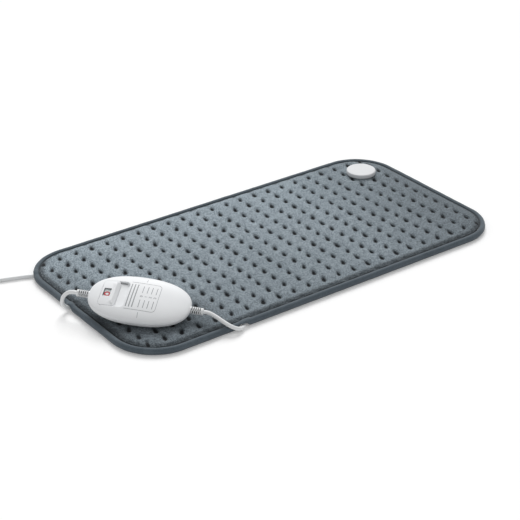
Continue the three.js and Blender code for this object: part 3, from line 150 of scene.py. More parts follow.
SHADE_PIECE_BITE = 0.1  # how far the window's dark grey piece, painted shade for its inner walls, goes into the slider's wall
SHADE_PIECE_LOW = np.array([0.75, 0.15])  # its width at the window's outer end and near side
SHADE_PIECE_HIGH = np.array([0.15, 0.2])  # and at the inner end and far side
SHADE_PIECE_SUNK = 0.4  # of its rim below the slider's top
SHADE_PIECE_EDGE = 0.7  # height of its inner edge
STEM_PLACE = np.array([-34.4, 19.8])
STEM_SIZE = np.array([5.0, 1.0])
STEM_FOOT = 2.0  # height of its lower end
STEM_PLAY = 0.7  # in its slot

# Strain reliefs
RELIEF_AXIS = -2.0  # height of the strain reliefs' axis
RELIEF_START = 52.0  # |x| of the hidden end, inside the case
RELIEF_END = 81.0
RELIEF_SLOTS = 15.5  # length from the first slot to the end
RELIEF_RADII = (4.7, 4.5)
SLEEVE_COLLAR = 2.4  # plain end of a strain relief

# Cords
CORD_RADIUS = 2.6
CORD_REST = 2.75  # height of the axis of a cord that lies on the table
CORD_BEVEL = 6  # resolution of its round
CORD_EXITS = np.array([70, 81.3, 86.5])  # |x| in the controller's frame, in the relief and past it
CORNER = -PAD_HALF  # the pad's front corner, which the cords' points are measured from
COIL_MIDDLE = np.array([-363.0, 186.0])
COIL_LOW = 4.0
COIL_PITCH = 5.7
COIL_INNER = 20.125
COIL_INMOST = 3.75  # turns from the start to the inmost one
COIL_CLIMB = (3.5, 4.0)  # turns between which it climbs
COIL_START = 251.8
COIL_TURNS = 7.2
COIL_STEPS = 173
LEAD_HEADING = 30.5  # of the pad lead's last run, degrees
LEAD_STOPS = np.array([[53.6], [34.45], [15.3]])  # distances from the junction
PLUG = np.array([-403.0, 228.0, 7.3])  # where the cord goes into the plug's sleeve, along +Y
PLUG_RUN = np.array([-5.5, 6.0])  # the cord's last points before and in the sleeve

MM = 1000.0  # per metre; a pattern of s mm has the scale MM / s
TINY = 1e-9  # keeps a division off 0


# Vector helpers

def turn(axis, degrees):
    """Rotation matrix about the axis with that number."""
    cosine, sine = np.cos(np.radians(degrees)), np.sin(np.radians(degrees))
    matrix = np.eye(3)
    first, second = (axis + 1) % 3, (axis + 2) % 3
    matrix[[first, second], [first, second]] = cosine
    matrix[first, second], matrix[second, first] = -sine, sine
    return matrix


CASE_TURN = turn(2, CASE_HEADING) @ turn(1, CASE_PITCH) @ turn(0, CASE_ROLL)


def from_case(points):
    """Points of the controller's frame in the pad's frame: turned, then moved."""
    return np.asarray(points, float) @ CASE_TURN.T + CASE_PLACE


def smoothstep(low, high, value):
    """Rises from 0 at low to 1 at high as 3t^2 - 2t^3."""
    t = np.clip((value - low) / (high - low), 0, 1)
    return t * t * (3 - 2 * t)


def stacked(x, y, z):
    """Arrays of coordinates as one array of points."""
    return np.stack(np.broadcast_arrays(x, y, z), axis=-1)


def xy(points):
    """The two plan coordinates of an array of points."""
    return points[..., 0], points[..., 1]


def unit(vectors):
    """Vectors of length 1."""
    return vectors / np.linalg.norm(vectors, axis=-1)[..., None]


def full_turn(count):
    """Angles of a full circle, its end left out."""
    return np.linspace(0, 2 * np.pi, count, endpoint=False)


def polar(middle, radius, angle, height):
    """Points at a radius and an angle round a middle."""
    return stacked(middle[0] + radius * np.cos(angle), middle[1] + radius * np.sin(angle), height)


def apart(x, y, place):
    """Distance in plan from a place."""
    return np.hypot(x - place[0], y - place[1])


def waves(x, y, size, count=12, spread=(0.7, 1.6)):
    """Soft noise between about -1 and 1: a mean of sines in random directions, about size mm long."""
    angle = rng.uniform(0, 2 * np.pi, count)
    pace = 2 * np.pi / (size * rng.uniform(*spread, count))
    phase = rng.uniform(0, 2 * np.pi, count)
    total = np.zeros(np.broadcast(x, y).shape)
    for a, k, p in zip(angle, pace, phase):
        total += np.sin(k * (np.cos(a) * x + np.sin(a) * y) + p)
    return total / np.sqrt(count)


# Camera

scene = bpy.context.scene
scene.view_settings.view_transform = "Standard"
camera_data = bpy.data.cameras.new("camera")
camera_data.sensor_width = SENSOR
camera_data.lens = FOCAL_PIXELS / PHOTO_PIXELS * SENSOR
camera_data.clip_end = CAMERA_REACH
camera = bpy.data.objects.new("camera", camera_data)
scene.collection.objects.link(camera)
camera_axes = turn(2, CAMERA_AZIMUTH) @ turn(0, 90 - CAMERA_ELEVATION)
camera.matrix_world = Matrix.Translation(CAMERA_PLACE) @ Matrix(camera_axes.tolist()).to_4x4()
scene.camera = camera


# Materials

def linear(code):
    """An sRGB hex colour as linear RGBA."""
    value = np.array([int(code[i:i + 2], 16) for i in (1, 3, 5)]) / 255
    value = np.where(value <= 0.04045, value / 12.92, ((value + 0.055) / 1.055) ** 2.4)
    return (*value.tolist(), 1.0)


def fill(tree, filled, inputs):
    """Sets a node's plain inputs and links those that are sockets."""
    for key, value in inputs.items():
        if isinstance(value, bpy.types.NodeSocket):
            tree.links.new(value, filled.inputs[key])
        else:
            filled.inputs[key].default_value = value


def node(tree, kind, inputs=None, **settings):
    """Adds a node with its settings and fills its inputs."""
    added = tree.nodes.new(kind)
    for key, value in settings.items():
        setattr(added, key, value)
    fill(tree, added, inputs or {})
    return added


def material(name, color, **sockets):
    """A material with its shader: the colour and the sockets' constants are set on the shader."""
    made = bpy.data.materials.new(name)
    made.use_nodes = True
    shader = made.node_tree.nodes["Principled BSDF"]
    shader.inputs["Base Color"].default_value = linear(color)
    for key, value in sockets.items():
        shader.inputs[key.replace("_", " ")].default_value = value
    return made, made.node_tree, shader


GLOSS_SPREAD = 0.05  # of the roughness, up and down
RANGE = ("From Min", "From Max", "To Min", "To Max")
SHARE, FIRST, SECOND, MIXED = 0, 6, 7, 2  # a colour Mix node's inputs, and its output


def mottled(name, dark, light, grain, patch, bump, roughness, **sockets):
    """Moulded or drawn stuff: fine grain for the bump, larger faint patches for the colour."""
    made, tree, shader = material(name, light, Roughness=roughness, **sockets)
    place = node(tree, "ShaderNodeTexCoord").outputs["Object"]
    fine = node(tree, "ShaderNodeTexNoise", {"Vector": place, "Scale": MM / grain, "Detail": 2.0})
    wide = node(tree, "ShaderNodeTexNoise", {"Vector": place, "Scale": MM / patch, "Detail": 3.0})
    tone = node(tree, "ShaderNodeMix", {SHARE: wide.outputs["Fac"], FIRST: linear(dark),
                                        SECOND: linear(light)}, data_type="RGBA")
    gloss = node(tree, "ShaderNodeMapRange", {
        "Value": fine.outputs["Fac"],
        "To Min": roughness - GLOSS_SPREAD, "To Max": roughness + GLOSS_SPREAD})
    relief = node(tree, "ShaderNodeBump", {"Height": fine.outputs["Fac"], "Strength": 0.3,
                                           "Distance": bump / MM})
    fill(tree, shader, {"Base Color": tone.outputs[MIXED], "Roughness": gloss.outputs["Result"],
                        "Normal": relief.outputs["Normal"]})
    return made


NAP_WIDTH = 1.6  # mm
NAP_PATCH = 38
NAP_BUMP = 1.2
NAP_CONTRAST = (0.41, 0.59, 0, 1)  # part of the noise that goes from the dark to the light tone
FALLOFF_ALONG = (0.12, 0.3, 1.0, 0.56)  # painted falloff of the light: from and to an X in metres, and the colour's factor there
FALLOFF_ACROSS = (-0.13, 0.13, 0.77, 1.07)  # the same painted falloff for Y, darker towards the near side


def plush_material():
    """Short polyester plush, sheared and brushed: matt, a soft sheen, nap that lies in patches.

    The nap's tufts are under 1 mm; they are drawn 1.6 mm wide so that they show. A painted falloff of
    the light darkens it towards the cap's end and the near side. Painted shade, by the piece's own
    attribute, darkens the sewn pits, the seam's crease, the front border's roll and the dents, with a
    painted shadow round the controller's place.
    """
    made, tree, shader = material("polyester_plush_brushed", "#8f9aa1", Roughness=0.95,
                                  Sheen_Weight=0.12, Sheen_Roughness=0.5, Specular_IOR_Level=0.1)
    place = node(tree, "ShaderNodeTexCoord").outputs["Object"]
    nap = node(tree, "ShaderNodeTexNoise", {"Vector": place, "Scale": MM / NAP_WIDTH, "Detail": 3.0,
                                            "Roughness": 0.7}).outputs["Fac"]
    patch = node(tree, "ShaderNodeTexNoise", {"Vector": place, "Scale": MM / NAP_PATCH, "Detail": 2.0})
    axes = node(tree, "ShaderNodeSeparateXYZ", {"Vector": place}).outputs
    ranges = ((nap, NAP_CONTRAST), (axes["X"], FALLOFF_ALONG), (axes["Y"], FALLOFF_ACROSS))
    lock, along, across = (
        node(tree, "ShaderNodeMapRange", {"Value": value, **dict(zip(RANGE, limits))}).outputs["Result"]
        for value, limits in ranges)
    pile = node(tree, "ShaderNodeMix", {SHARE: lock, FIRST: linear("#758088"),
                                        SECOND: linear("#bbc8d0")}, data_type="RGBA")
    shade = node(tree, "ShaderNodeMix", {SHARE: patch.outputs["Fac"], FIRST: linear("#e4e6e8"),
                                         SECOND: linear("#ffffff")}, data_type="RGBA")
    brushed = node(tree, "ShaderNodeMix", {SHARE: 1.0, FIRST: pile.outputs[MIXED],
                                           SECOND: shade.outputs[MIXED]},
                   data_type="RGBA", blend_type="MULTIPLY")
    # painted falloff of the light: darker towards the cap's end and the near side
    falloff = node(tree, "ShaderNodeMath", {0: along, 1: across}, operation="MULTIPLY")
    pile_in_falloff = node(tree, "ShaderNodeVectorMath", {0: brushed.outputs[MIXED], "Scale": falloff.outputs[0]},
                operation="SCALE")
    # painted shade from the piece's attribute mixes the pile towards near black
    pit = node(tree, "ShaderNodeAttribute", attribute_name="tuft")
    shaded_pile = node(tree, "ShaderNodeMix", {SHARE: pit.outputs["Fac"], FIRST: pile_in_falloff.outputs["Vector"],
                                        SECOND: linear("#0d1115")}, data_type="RGBA")
    relief = node(tree, "ShaderNodeBump", {"Height": nap, "Strength": 0.8, "Distance": NAP_BUMP / MM})
    fill(tree, shader, {"Base Color": shaded_pile.outputs[MIXED], "Normal": relief.outputs["Normal"]})
    return made


STITCH_WIDTH = 1.5  # mm
STITCH_BUMP = 0.4
BINDING_PATCH = 14
BINDING_WEAR = 0.4  # share of the patches in the tone, beside the stitches


def knit_material():
    """Brushed polyester binding, finely knitted: matt and even, darker than the plush, a little sheen.

    Its stitches are about 0.6 mm; they are drawn 1.5 mm wide so that they show. Painted shade, by the
    piece's own attribute, darkens its inner side in the crease.
    """
    made, tree, shader = material("polyester_binding_knitted", "#5c666e", Roughness=0.9,
                                  Sheen_Weight=0.2, Specular_IOR_Level=0.15)
    place = node(tree, "ShaderNodeTexCoord").outputs["Object"]
    stitch = node(tree, "ShaderNodeTexNoise", {"Vector": place, "Scale": MM / STITCH_WIDTH,
                                               "Detail": 2.0})
    wear = node(tree, "ShaderNodeTexNoise", {"Vector": place, "Scale": MM / BINDING_PATCH,
                                             "Detail": 3.0})
    both = node(tree, "ShaderNodeMix", {"Factor": BINDING_WEAR, "A": stitch.outputs["Fac"],
                                        "B": wear.outputs["Fac"]})
    tone = node(tree, "ShaderNodeMix", {SHARE: both.outputs["Result"], FIRST: linear("#3f4951"),
                                        SECOND: linear("#6a757d")}, data_type="RGBA")
    # painted shade in the crease: the piece's attribute darkens the bead's inner side
    crease = node(tree, "ShaderNodeAttribute", attribute_name="crease")
    crease_shaded = node(tree, "ShaderNodeMix", {SHARE: crease.outputs["Fac"], FIRST: tone.outputs[MIXED],
                                          SECOND: linear("#15191d")}, data_type="RGBA")
    relief = node(tree, "ShaderNodeBump", {"Height": stitch.outputs["Fac"], "Strength": 0.5,
                                           "Distance": STITCH_BUMP / MM})
    fill(tree, shader, {"Base Color": crease_shaded.outputs[MIXED], "Normal": relief.outputs["Normal"]})
    return made


CORD_LOOK = ("#ebedee", "#f2f4f5", 1.5, 18, 0.05, 0.42)  # as the columns of the materials below


def slotted_material():
    """The cords' plastic as moulded strain reliefs, with painted shade in their slots, where little
    light comes back out.
    """
    made = mottled("pvc_white_slotted", *CORD_LOOK, IOR=1.54)
    tree = made.node_tree
    shader = tree.nodes["Principled BSDF"]
    plain = shader.inputs["Base Color"].links[0].from_socket
    slot = node(tree, "ShaderNodeAttribute", attribute_name="slot")
    slot_shaded = node(tree, "ShaderNodeMix", {SHARE: slot.outputs["Fac"], FIRST: plain,
                                        SECOND: linear("#54595d")}, data_type="RGBA")
    fill(tree, shader, {"Base Color": slot_shaded.outputs[MIXED]})
    return made


# What it is, darker and lighter tone, size of the grain, the patches and the bump in mm, roughness.
# ABS: white with a broad soft gloss, duller on the cap. PVC: a little shinier, as if oily.
# Felt is dull and woolly, inks are flat, resins and insulation have a dull shine, metals a clear one.
MATERIALS = {
    "plush": plush_material(),
    "binding_cloth": knit_material(),
    "fleece": mottled("polyester_felt_carrier", "#cfcabc", "#dedacd", 1.5, 12, 0.6, 0.95),
    "heating_wire": mottled("silicone_insulation_red", "#a3241d", "#b52f27", 1, 10, 0.1, 0.5),
    "white_plastic": mottled("abs_white_polished", "#eef0f2", "#f4f6f8", 0.8, 25, 0.015, 0.5, IOR=1.46),
    "cap_plastic": mottled("abs_white_satin", "#dcdee0", "#e2e4e6", 0.8, 25, 0.03, 0.65, IOR=1.46),
    "white_cord": mottled("pvc_white_extruded", *CORD_LOOK, IOR=1.54),
    "slotted_cord": slotted_material(),
    "scale_plastic": mottled("polystyrene_inlay_pale", "#dfe8e8", "#e6eeee", 0.8, 10, 0.02, 0.5),
    "black_plastic": mottled("polyamide_black_moulded", "#26272a", "#303236", 0.8, 14, 0.06, 0.55),
    "ivory_plastic": mottled("urea_resin_ivory", "#d8cba6", "#e2d6b3", 0.8, 9, 0.05, 0.5),
    "green_plastic": mottled("polyamide_green_terminal", "#2f7560", "#3c866f", 0.8, 9, 0.05, 0.5),
    "yellow_plastic": mottled("epoxy_yellow_dipped", "#cfa431", "#dcb444", 1.0, 9, 0.05, 0.4),
    "circuit_board": mottled("glass_laminate_green", "#376343", "#43754f", 0.9, 7, 0.05, 0.45),
    "brown_insulation": mottled("pvc_brown_core", "#5f381f", "#6f4427", 1, 8, 0.04, 0.45),
    "blue_insulation": mottled("pvc_blue_core", "#2a5796", "#3465aa", 1, 8, 0.04, 0.45),
    "brass": mottled("brass_stamped", "#b8943f", "#caa854", 0.5, 6, 0.05, 0.32, Metallic=1.0),
    "steel": mottled("steel_nickel_plated", "#b3b6ba", "#c3c6ca", 0.5, 6, 0.04, 0.28, Metallic=1.0),
    "grey_print": mottled("pad_print_grey_ink", "#8c9093", "#989c9f", 1.2, 12, 0.02, 0.5),
    # painted shade: the grey of the window's inner walls
    "window_shade_grey": mottled("window_shade_grey_matt", "#45494c", "#505457", 0.8, 25, 0.03, 0.6),
    "red_print": mottled("pad_print_red_ink", "#ad0f20", "#b9182a", 1.2, 12, 0.02, 0.5),
}


# Meshes

def grid_faces(rows, columns, wrap_rows=False, wrap_columns=False):
    """Quads between neighbours of a grid that may close on itself either way."""
    i = np.arange(rows if wrap_rows else rows - 1)[:, None]
    j = np.arange(columns if wrap_columns else columns - 1)[None, :]
    below, right = (i + 1) % rows, (j + 1) % columns
    corners = (i * columns + j, below * columns + j, below * columns + right, i * columns + right)
    return np.stack(np.broadcast_arrays(*corners), axis=-1).reshape(-1, 4)


def lofted(rows):
    """Rings of points joined into a closed skin, its two ends closed by fans to their middles."""
    count, around = rows.shape[:2]
    quads = grid_faces(count, around, wrap_columns=True)
    points = np.vstack([rows.reshape(-1, 3), rows[0].mean(0), rows[-1].mean(0)])
    side = np.arange(around)
    after = (side + 1) % around
    last = (count - 1) * around
    start = np.stack([after, side, np.full(around, count * around)], axis=-1)
    end = np.stack([last + side, last + after, np.full(around, count * around + 1)], axis=-1)
    return points, quads, np.vstack([start, end])


def ringed(rows):
    """Rings of points joined into a skin that closes on itself both ways."""
    count, around = rows.shape[:2]
    return rows.reshape(-1, 3), grid_faces(count, around, True, True), np.zeros((0, 3), int)


def case_skin(skin):
    """A skin of the controller's frame in the pad's frame."""
    return from_case(skin[0]), skin[1], skin[2]


def piece(name, skin, slot, body="heating_pad", replaces=(), sharp=40, ink=None):
    """A mesh piece from points in mm, quads and triangles, turned outwards, smooth up to an angle."""
    points, quads, triangles = skin
    halves = np.vstack([quads[:, [0, 1, 2]], quads[:, [0, 2, 3]], triangles])
    a, b, c = (points[halves[:, k]] - points.mean(0) for k in range(3))
    if np.einsum("ij,ij->", a, np.cross(b, c)) < 0:
        quads, triangles = quads[:, ::-1], triangles[:, ::-1]
    mesh = bpy.data.meshes.new(name)
    loops = np.concatenate([quads.ravel(), triangles.ravel()]).astype(np.int32)
    sizes = np.concatenate([np.full(len(quads), 4), np.full(len(triangles), 3)])
    mesh.vertices.add(len(points))
    mesh.vertices.foreach_set("co", (points / MM).astype(np.float32).ravel())
    mesh.loops.add(len(loops))
    mesh.loops.foreach_set("vertex_index", loops)
    mesh.polygons.add(len(sizes))
    mesh.polygons.foreach_set("loop_start", (np.cumsum(sizes) - sizes).astype(np.int32))
    mesh.polygons.foreach_set("use_smooth", np.ones(len(sizes), bool))
    mesh.update(calc_edges=True)
    mesh.set_sharp_from_angle(angle=np.radians(sharp))
    mesh.materials.append(MATERIALS[ink or slot])
    made = bpy.data.objects.new(name, mesh)
    scene.collection.objects.link(made)
    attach(made, body)
    if replaces:
        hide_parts(*replaces)
    return made


def paint(made, name, values):
    """Gives each point of a piece a number, which its material reads by that name."""
    layer = made.data.attributes.new(name, "FLOAT", "POINT")
    layer.data.foreach_set("value", values.astype(np.float32))


# Cords

def smooth_route(points, steps):
    """Centripetal Catmull-Rom curve: cubics through the points, slopes weighted by root chords."""
    p = np.vstack([2 * points[0] - points[1], points, 2 * points[-1] - points[-2]])
    d = np.sqrt(np.linalg.norm(np.diff(p, axis=0), axis=1))[:, None]
    p0, p1, p2, p3 = p[:-3], p[1:-2], p[2:-1], p[3:]
    d0, d1, d2 = d[:-2], d[1:-1], d[2:]
    slope1 = ((p1 - p0) / d0 - (p2 - p0) / (d0 + d1) + (p2 - p1) / d1) * d1
    slope2 = ((p2 - p1) / d1 - (p3 - p1) / (d1 + d2) + (p3 - p2) / d2) * d1
    t = (np.arange(steps) / steps)[None, :, None]
    p1, p2, slope1, slope2 = (v[:, None, :] for v in (p1, p2, slope1, slope2))
    curve = (p1 + slope1 * t + (-3 * p1 + 3 * p2 - 2 * slope1 - slope2) * t ** 2
             + (2 * p1 - 2 * p2 + slope1 + slope2) * t ** 3)
    return np.vstack([curve.reshape(-1, 3), points[-1]])


def from_corner(points):
    """Cord points measured from the pad's front corner; a missing height is a cord at rest."""
    return np.array([[x + CORNER[0], y + CORNER[1], *(rest or [CORD_REST])] for x, y, *rest in points])


def out_of_case(side):
    """A cord's first points, straight out of one end of the controller."""
    return from_case(stacked(side * CORD_EXITS, 0, RELIEF_AXIS))


def coil_turns():
    """Spiral: the radius falls to the inmost turn and grows again as the cord climbs one layer."""
    count = np.linspace(0, COIL_TURNS, COIL_STEPS + 1)
    radius = COIL_INNER + np.abs(count - COIL_INMOST) * COIL_PITCH
    angle = np.radians(COIL_START) - count * 2 * np.pi
    turns = polar(COIL_MIDDLE, radius, angle, COIL_LOW + COIL_PITCH * smoothstep(*COIL_CLIMB, count))
    lead_in = turns[0] + 2 * CORD_RADIUS * unit(turns[0] - turns[1])
    lead_out = turns[-1] + 2 * CORD_RADIUS * unit(turns[-1] - turns[-2])
    return np.vstack([lead_in, turns, lead_out])


mains_route = smooth_route(np.vstack([
    out_of_case(-1),
    from_corner([
        (-2.7, 159.6, 31.5), (-6.1, 163.1, 27.9), (-8.4, 165.6, 22.9), (-8.9, 167.1, 17.2),
        (-7.2, 167.9, 11.4), (-3.3, 168.1, 6.9), (2.2, 168.4, 4.2), (9, 169.9, 2.9), (16.8, 173.4),
        (23.7, 180.4), (28, 191), (30, 207), (30.5, 225), (29, 241), (23.5, 255), (13.5, 266),
        (0, 273.6), (-18, 280.6), (-36, 286.6, 2.9), (-52, 291.6, 3.5)]),
    coil_turns(),
    stacked(PLUG[0], PLUG[1] + PLUG_RUN, PLUG[2]),
]), steps=4)
lead_way = np.array([np.cos(np.radians(LEAD_HEADING)), np.sin(np.radians(LEAD_HEADING))])
lead_route = smooth_route(np.vstack([
    out_of_case(1),
    from_corner([
        (120.2, 24, 20.9), (123.2, 17.9, 18.6), (125.9, 11.8, 16.1), (128.5, 5.9, 13.6),
        (131.6, 0.9, 11.2), (135.5, -2.6, 8.8), (140.2, -4.2, 6.4), (145.3, -3.5, 4.6),
        (150.4, -0.5, 3.5), (157.6, 5.8, 2.8), (170, 16.8), (200, 37.8), (250, 69.6), (300, 99.6),
        (350, 129.6), (400, 159.6)]),
    stacked(*xy(JUNCTION - lead_way * LEAD_STOPS), CORD_REST),
]), steps=8)


def cord(name, route, replaces):
    """A round cord: one open line of points with a round bevel."""
    line = bpy.data.curves.new(name, "CURVE")
    line.dimensions = "3D"
    line.bevel_depth = CORD_RADIUS / MM
    line.bevel_resolution = CORD_BEVEL
    line.use_fill_caps = True
    spline = line.splines.new("POLY")
    spline.points.add(len(route) - 1)
    spline.points.foreach_set("co", np.c_[route / MM, np.ones(len(route))].astype(np.float32).ravel())
    spline.use_smooth = True
    line.materials.append(MATERIALS["white_cord"])
    made = bpy.data.objects.new(name, line)
    scene.collection.objects.link(made)
    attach(made, "heating_pad")
    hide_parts(*replaces)
    return made


mains_cord = cord("mains_flex", mains_route, ("mains_cord", "mains_coil", "mains_tail"))
pad_lead = cord("pad_flex", lead_route, ("pad_lead",))

LOW_CORD = 5.0  # height below which a cord may lie under the pad
CORD_SPARE = 0.4  # of the cloth above a cord
CORD_TENT = (7.0, 2.4)  # distances from a cord where the cloth is down and where it is up
TENT_BLOCK = 4000  # points worked out at a time

under_pad = np.vstack([mains_route, lead_route])
under_pad = under_pad[under_pad[:, 2] < LOW_CORD]


def cord_lift(x, y):
    """How high a cord under the pad lifts the cloth: just over its top, falling to 0 beside it."""
    flat = np.stack([x.ravel(), y.ravel()], axis=-1)
    lift = np.zeros(len(flat))
    for part in np.array_split(np.arange(len(flat)), max(1, len(flat) // TENT_BLOCK)):
        away = np.linalg.norm(flat[part, None] - under_pad[None, :, :2], axis=2)
        top = under_pad[away.argmin(1), 2] + CORD_RADIUS + CORD_SPARE
        lift[part] = top * smoothstep(*CORD_TENT, away.min(1))
    return lift.reshape(x.shape)


# Pad

def pad_depth(x, y):
    """Distance inwards from the pad's rounded outline."""
    qx = np.abs(x) - (PAD_HALF[0] - PAD_CORNER)
    qy = np.abs(y) - (PAD_HALF[1] - PAD_CORNER)
    outside = np.hypot(np.maximum(qx, 0), np.maximum(qy, 0))
    return PAD_CORNER - outside - np.minimum(np.maximum(qx, qy), 0)


def pad_plan(x, y, inset):
    """Rectangle to rounded rectangle: in each corner a square becomes a quarter disc, ring by ring."""
    radius = PAD_CORNER - inset
    cx, cy = PAD_HALF - PAD_CORNER
    px = np.maximum(np.abs(x) - cx, 0) / radius
    py = np.maximum(np.abs(y) - cy, 0) / radius
    reach = np.maximum(px, py)
    low = np.minimum(px, py) / np.maximum(reach, TINY) * np.pi / 4
    angle = np.where(px >= py, low, np.pi / 2 - low)
    corner = (px > 0) & (py > 0)
    round_x = np.sign(x) * (cx + reach * radius * np.cos(angle))
    round_y = np.sign(y) * (cy + reach * radius * np.sin(angle))
    return np.where(corner, round_x, x), np.where(corner, round_y, y)


def closed_sheet(points, floor, hem=0.0):
    """A grid as a closed cushion: its border goes inwards by the hem to a flat floor, one fan."""
    rows, columns = points.shape[:2]
    index = np.arange(rows * columns).reshape(rows, columns)
    border = np.concatenate([index[0, :-1], index[:-1, -1], index[-1, :0:-1], index[:0:-1, 0]])
    count = len(border)
    flat = points.reshape(-1, 3)
    edge = flat[border, :2]
    outwards = edge - np.clip(edge, PAD_CORNER - PAD_HALF, PAD_HALF - PAD_CORNER)
    inner = edge - hem * outwards / np.linalg.norm(outwards, axis=1)[:, None]
    rim = stacked(*xy(inner), floor)
    middle = np.array([[0, 0, floor]])
    lower = rows * columns + np.arange(count)
    after = np.roll(np.arange(count), -1)
    wall = np.stack([border, lower, lower[after], border[after]], axis=-1)
    fan = np.stack([lower, np.full(count, rows * columns + count), lower[after]], axis=-1)
    return np.vstack([flat, rim, middle]), np.vstack([grid_faces(rows, columns), wall]), fan


def tuft_rows(axis):
    """Places of the tufts' rows along one axis, evenly about the middle."""
    return (np.arange(TUFT_COUNT[axis]) - (TUFT_COUNT[axis] - 1) / 2) * TUFT_PITCH[axis]


def tuft_lines(axis):
    """Grid lines along one axis, crowded at each row of tufts and at the rolled border."""
    rows, (between, beside) = tuft_rows(axis), TUFT_GRID[axis]
    near = (rows[:, None] + np.concatenate([-beside[::-1], [0], beside])).ravel()
    gaps = np.linspace(beside[-1], TUFT_PITCH[axis] - beside[-1], between + 2)[1:-1]
    middle = (rows[:-1, None] + gaps).ravel()
    edge = np.linspace(rows[-1] + beside[-1], PAD_HALF[axis] - CREASE_INSET, EDGE_LINES)[1:]
    return np.sort(np.concatenate([near, middle, edge, -edge]))


NOTCH_SIZES = (0.5, 1.0)  # of the dents in the long seams
NOTCH_MEAN = 0.75
NOTCH_STRAY = 4.0  # along the seam, by its size
NOTCH_HALF = (4.2, 4.6)  # along and across the seam
NOTCH_INSET = 2.0  # from the crease to its middle
NOTCH_BAND = (20, 5)  # distances from a long side where there is none and where it is full
NOTCH_DEPTH = 1.8

tuft_shift = rng.uniform(-TUFT_STRAY, TUFT_STRAY, (*TUFT_COUNT, 2))
tuft_size = rng.uniform(*TUFT_SIZES, TUFT_COUNT)
tuft_angle = np.radians(rng.uniform(-TUFT_SWING, TUFT_SWING, TUFT_COUNT) + TUFT_TURN)
notch_size = rng.uniform(*NOTCH_SIZES, TUFT_COUNT)
lattice = np.stack(np.meshgrid(tuft_rows(0), tuft_rows(1), indexing="ij"), axis=-1)
tuft_there = ((pad_depth(*xy(lattice)) >= TUFT_BORDER)
              & (np.linalg.norm(lattice - JUNCTION, axis=-1) >= CAP_RADIUS))


def nearest_row(value, axis):
    """Number of the nearest row of tufts along one axis."""
    last = TUFT_COUNT[axis] - 1
    return np.clip(np.rint(value / TUFT_PITCH[axis] + last / 2), 0, last).astype(int)


def tuft_pull(x, y):
    """How far a point's nearest tuft draws it down, in mm, and how deep it lies in the pit, 0 to 1.

    The pit is exp(-(u/a)^2 - (v/b)^2), b being shorter towards -v than towards +v, in a shoulder
    exp(-(u^2 + v^2)/s^2); u and v are turned by the tuft's own angle.
    """
    own = nearest_row(x, 0), nearest_row(y, 1)
    middle = lattice[own] + tuft_shift[own]
    x, y = (x - middle[..., 0]) / tuft_size[own], (y - middle[..., 1]) / tuft_size[own]
    cosine, sine = np.cos(tuft_angle[own]), np.sin(tuft_angle[own])
    u, v = x * cosine + y * sine, y * cosine - x * sine + TUFT_AHEAD
    reach = np.where(v < 0, TUFT_HALF[1], TUFT_HALF[2])
    pit = np.exp(-(u / TUFT_HALF[0]) ** 2 - (v / reach) ** 2) * tuft_there[own]
    shoulder = np.exp(-(u ** 2 + v ** 2) / TUFT_SHOULDER ** 2) * tuft_there[own]
    return TUFT_DEPTH * (TUFT_SHARES[0] * pit + TUFT_SHARES[1] * shoulder), pit


def seam_notch(x, y):
    """Dents where the tufts' columns meet the long seams: a bell along and across the crease."""
    i = nearest_row(x, 0)
    size = notch_size[i, np.where(y > 0, 0, 1)]
    along = x - lattice[i, 0, 0] - NOTCH_STRAY * (size - NOTCH_MEAN)
    into = pad_depth(x, y) - CREASE_INSET
    bell = np.exp(-(along / NOTCH_HALF[0]) ** 2 - ((into - NOTCH_INSET) / NOTCH_HALF[1]) ** 2)
    return size * bell * smoothstep(*NOTCH_BAND, np.abs(np.abs(y) - PAD_HALF[1]))


def plush_height(x, y):
    """Border (1 - (1 - t)^2)^(3/4) of the full height, t from 0 at the crease; less the tufts' pull."""
    t = np.clip((pad_depth(x, y) - CREASE_INSET) / ROLL_WIDTH, 0, 1)
    rise = (1 - (1 - t) ** 2) ** ROLL_POWER
    return PLUSH_EDGE + (PLUSH_TOP - PLUSH_EDGE) * rise - tuft_pull(x, y)[0]


PUFF_GRID = (140, 76)
PUFF_FREE = (0.4, 2.5)  # free where a tuft pulls less, and further from the crease
PUFF_MOST = 1.6
PUFF_FRAMES = 20
PUFF_CLOTH = {
    "quality": 4, "mass": 0.2, "tension_stiffness": 8, "compression_stiffness": 8,
    "shear_stiffness": 4, "bending_stiffness": 0.4, "use_pressure": True,
    "uniform_pressure_force": 4.0, "vertex_group_mass": "held",
}


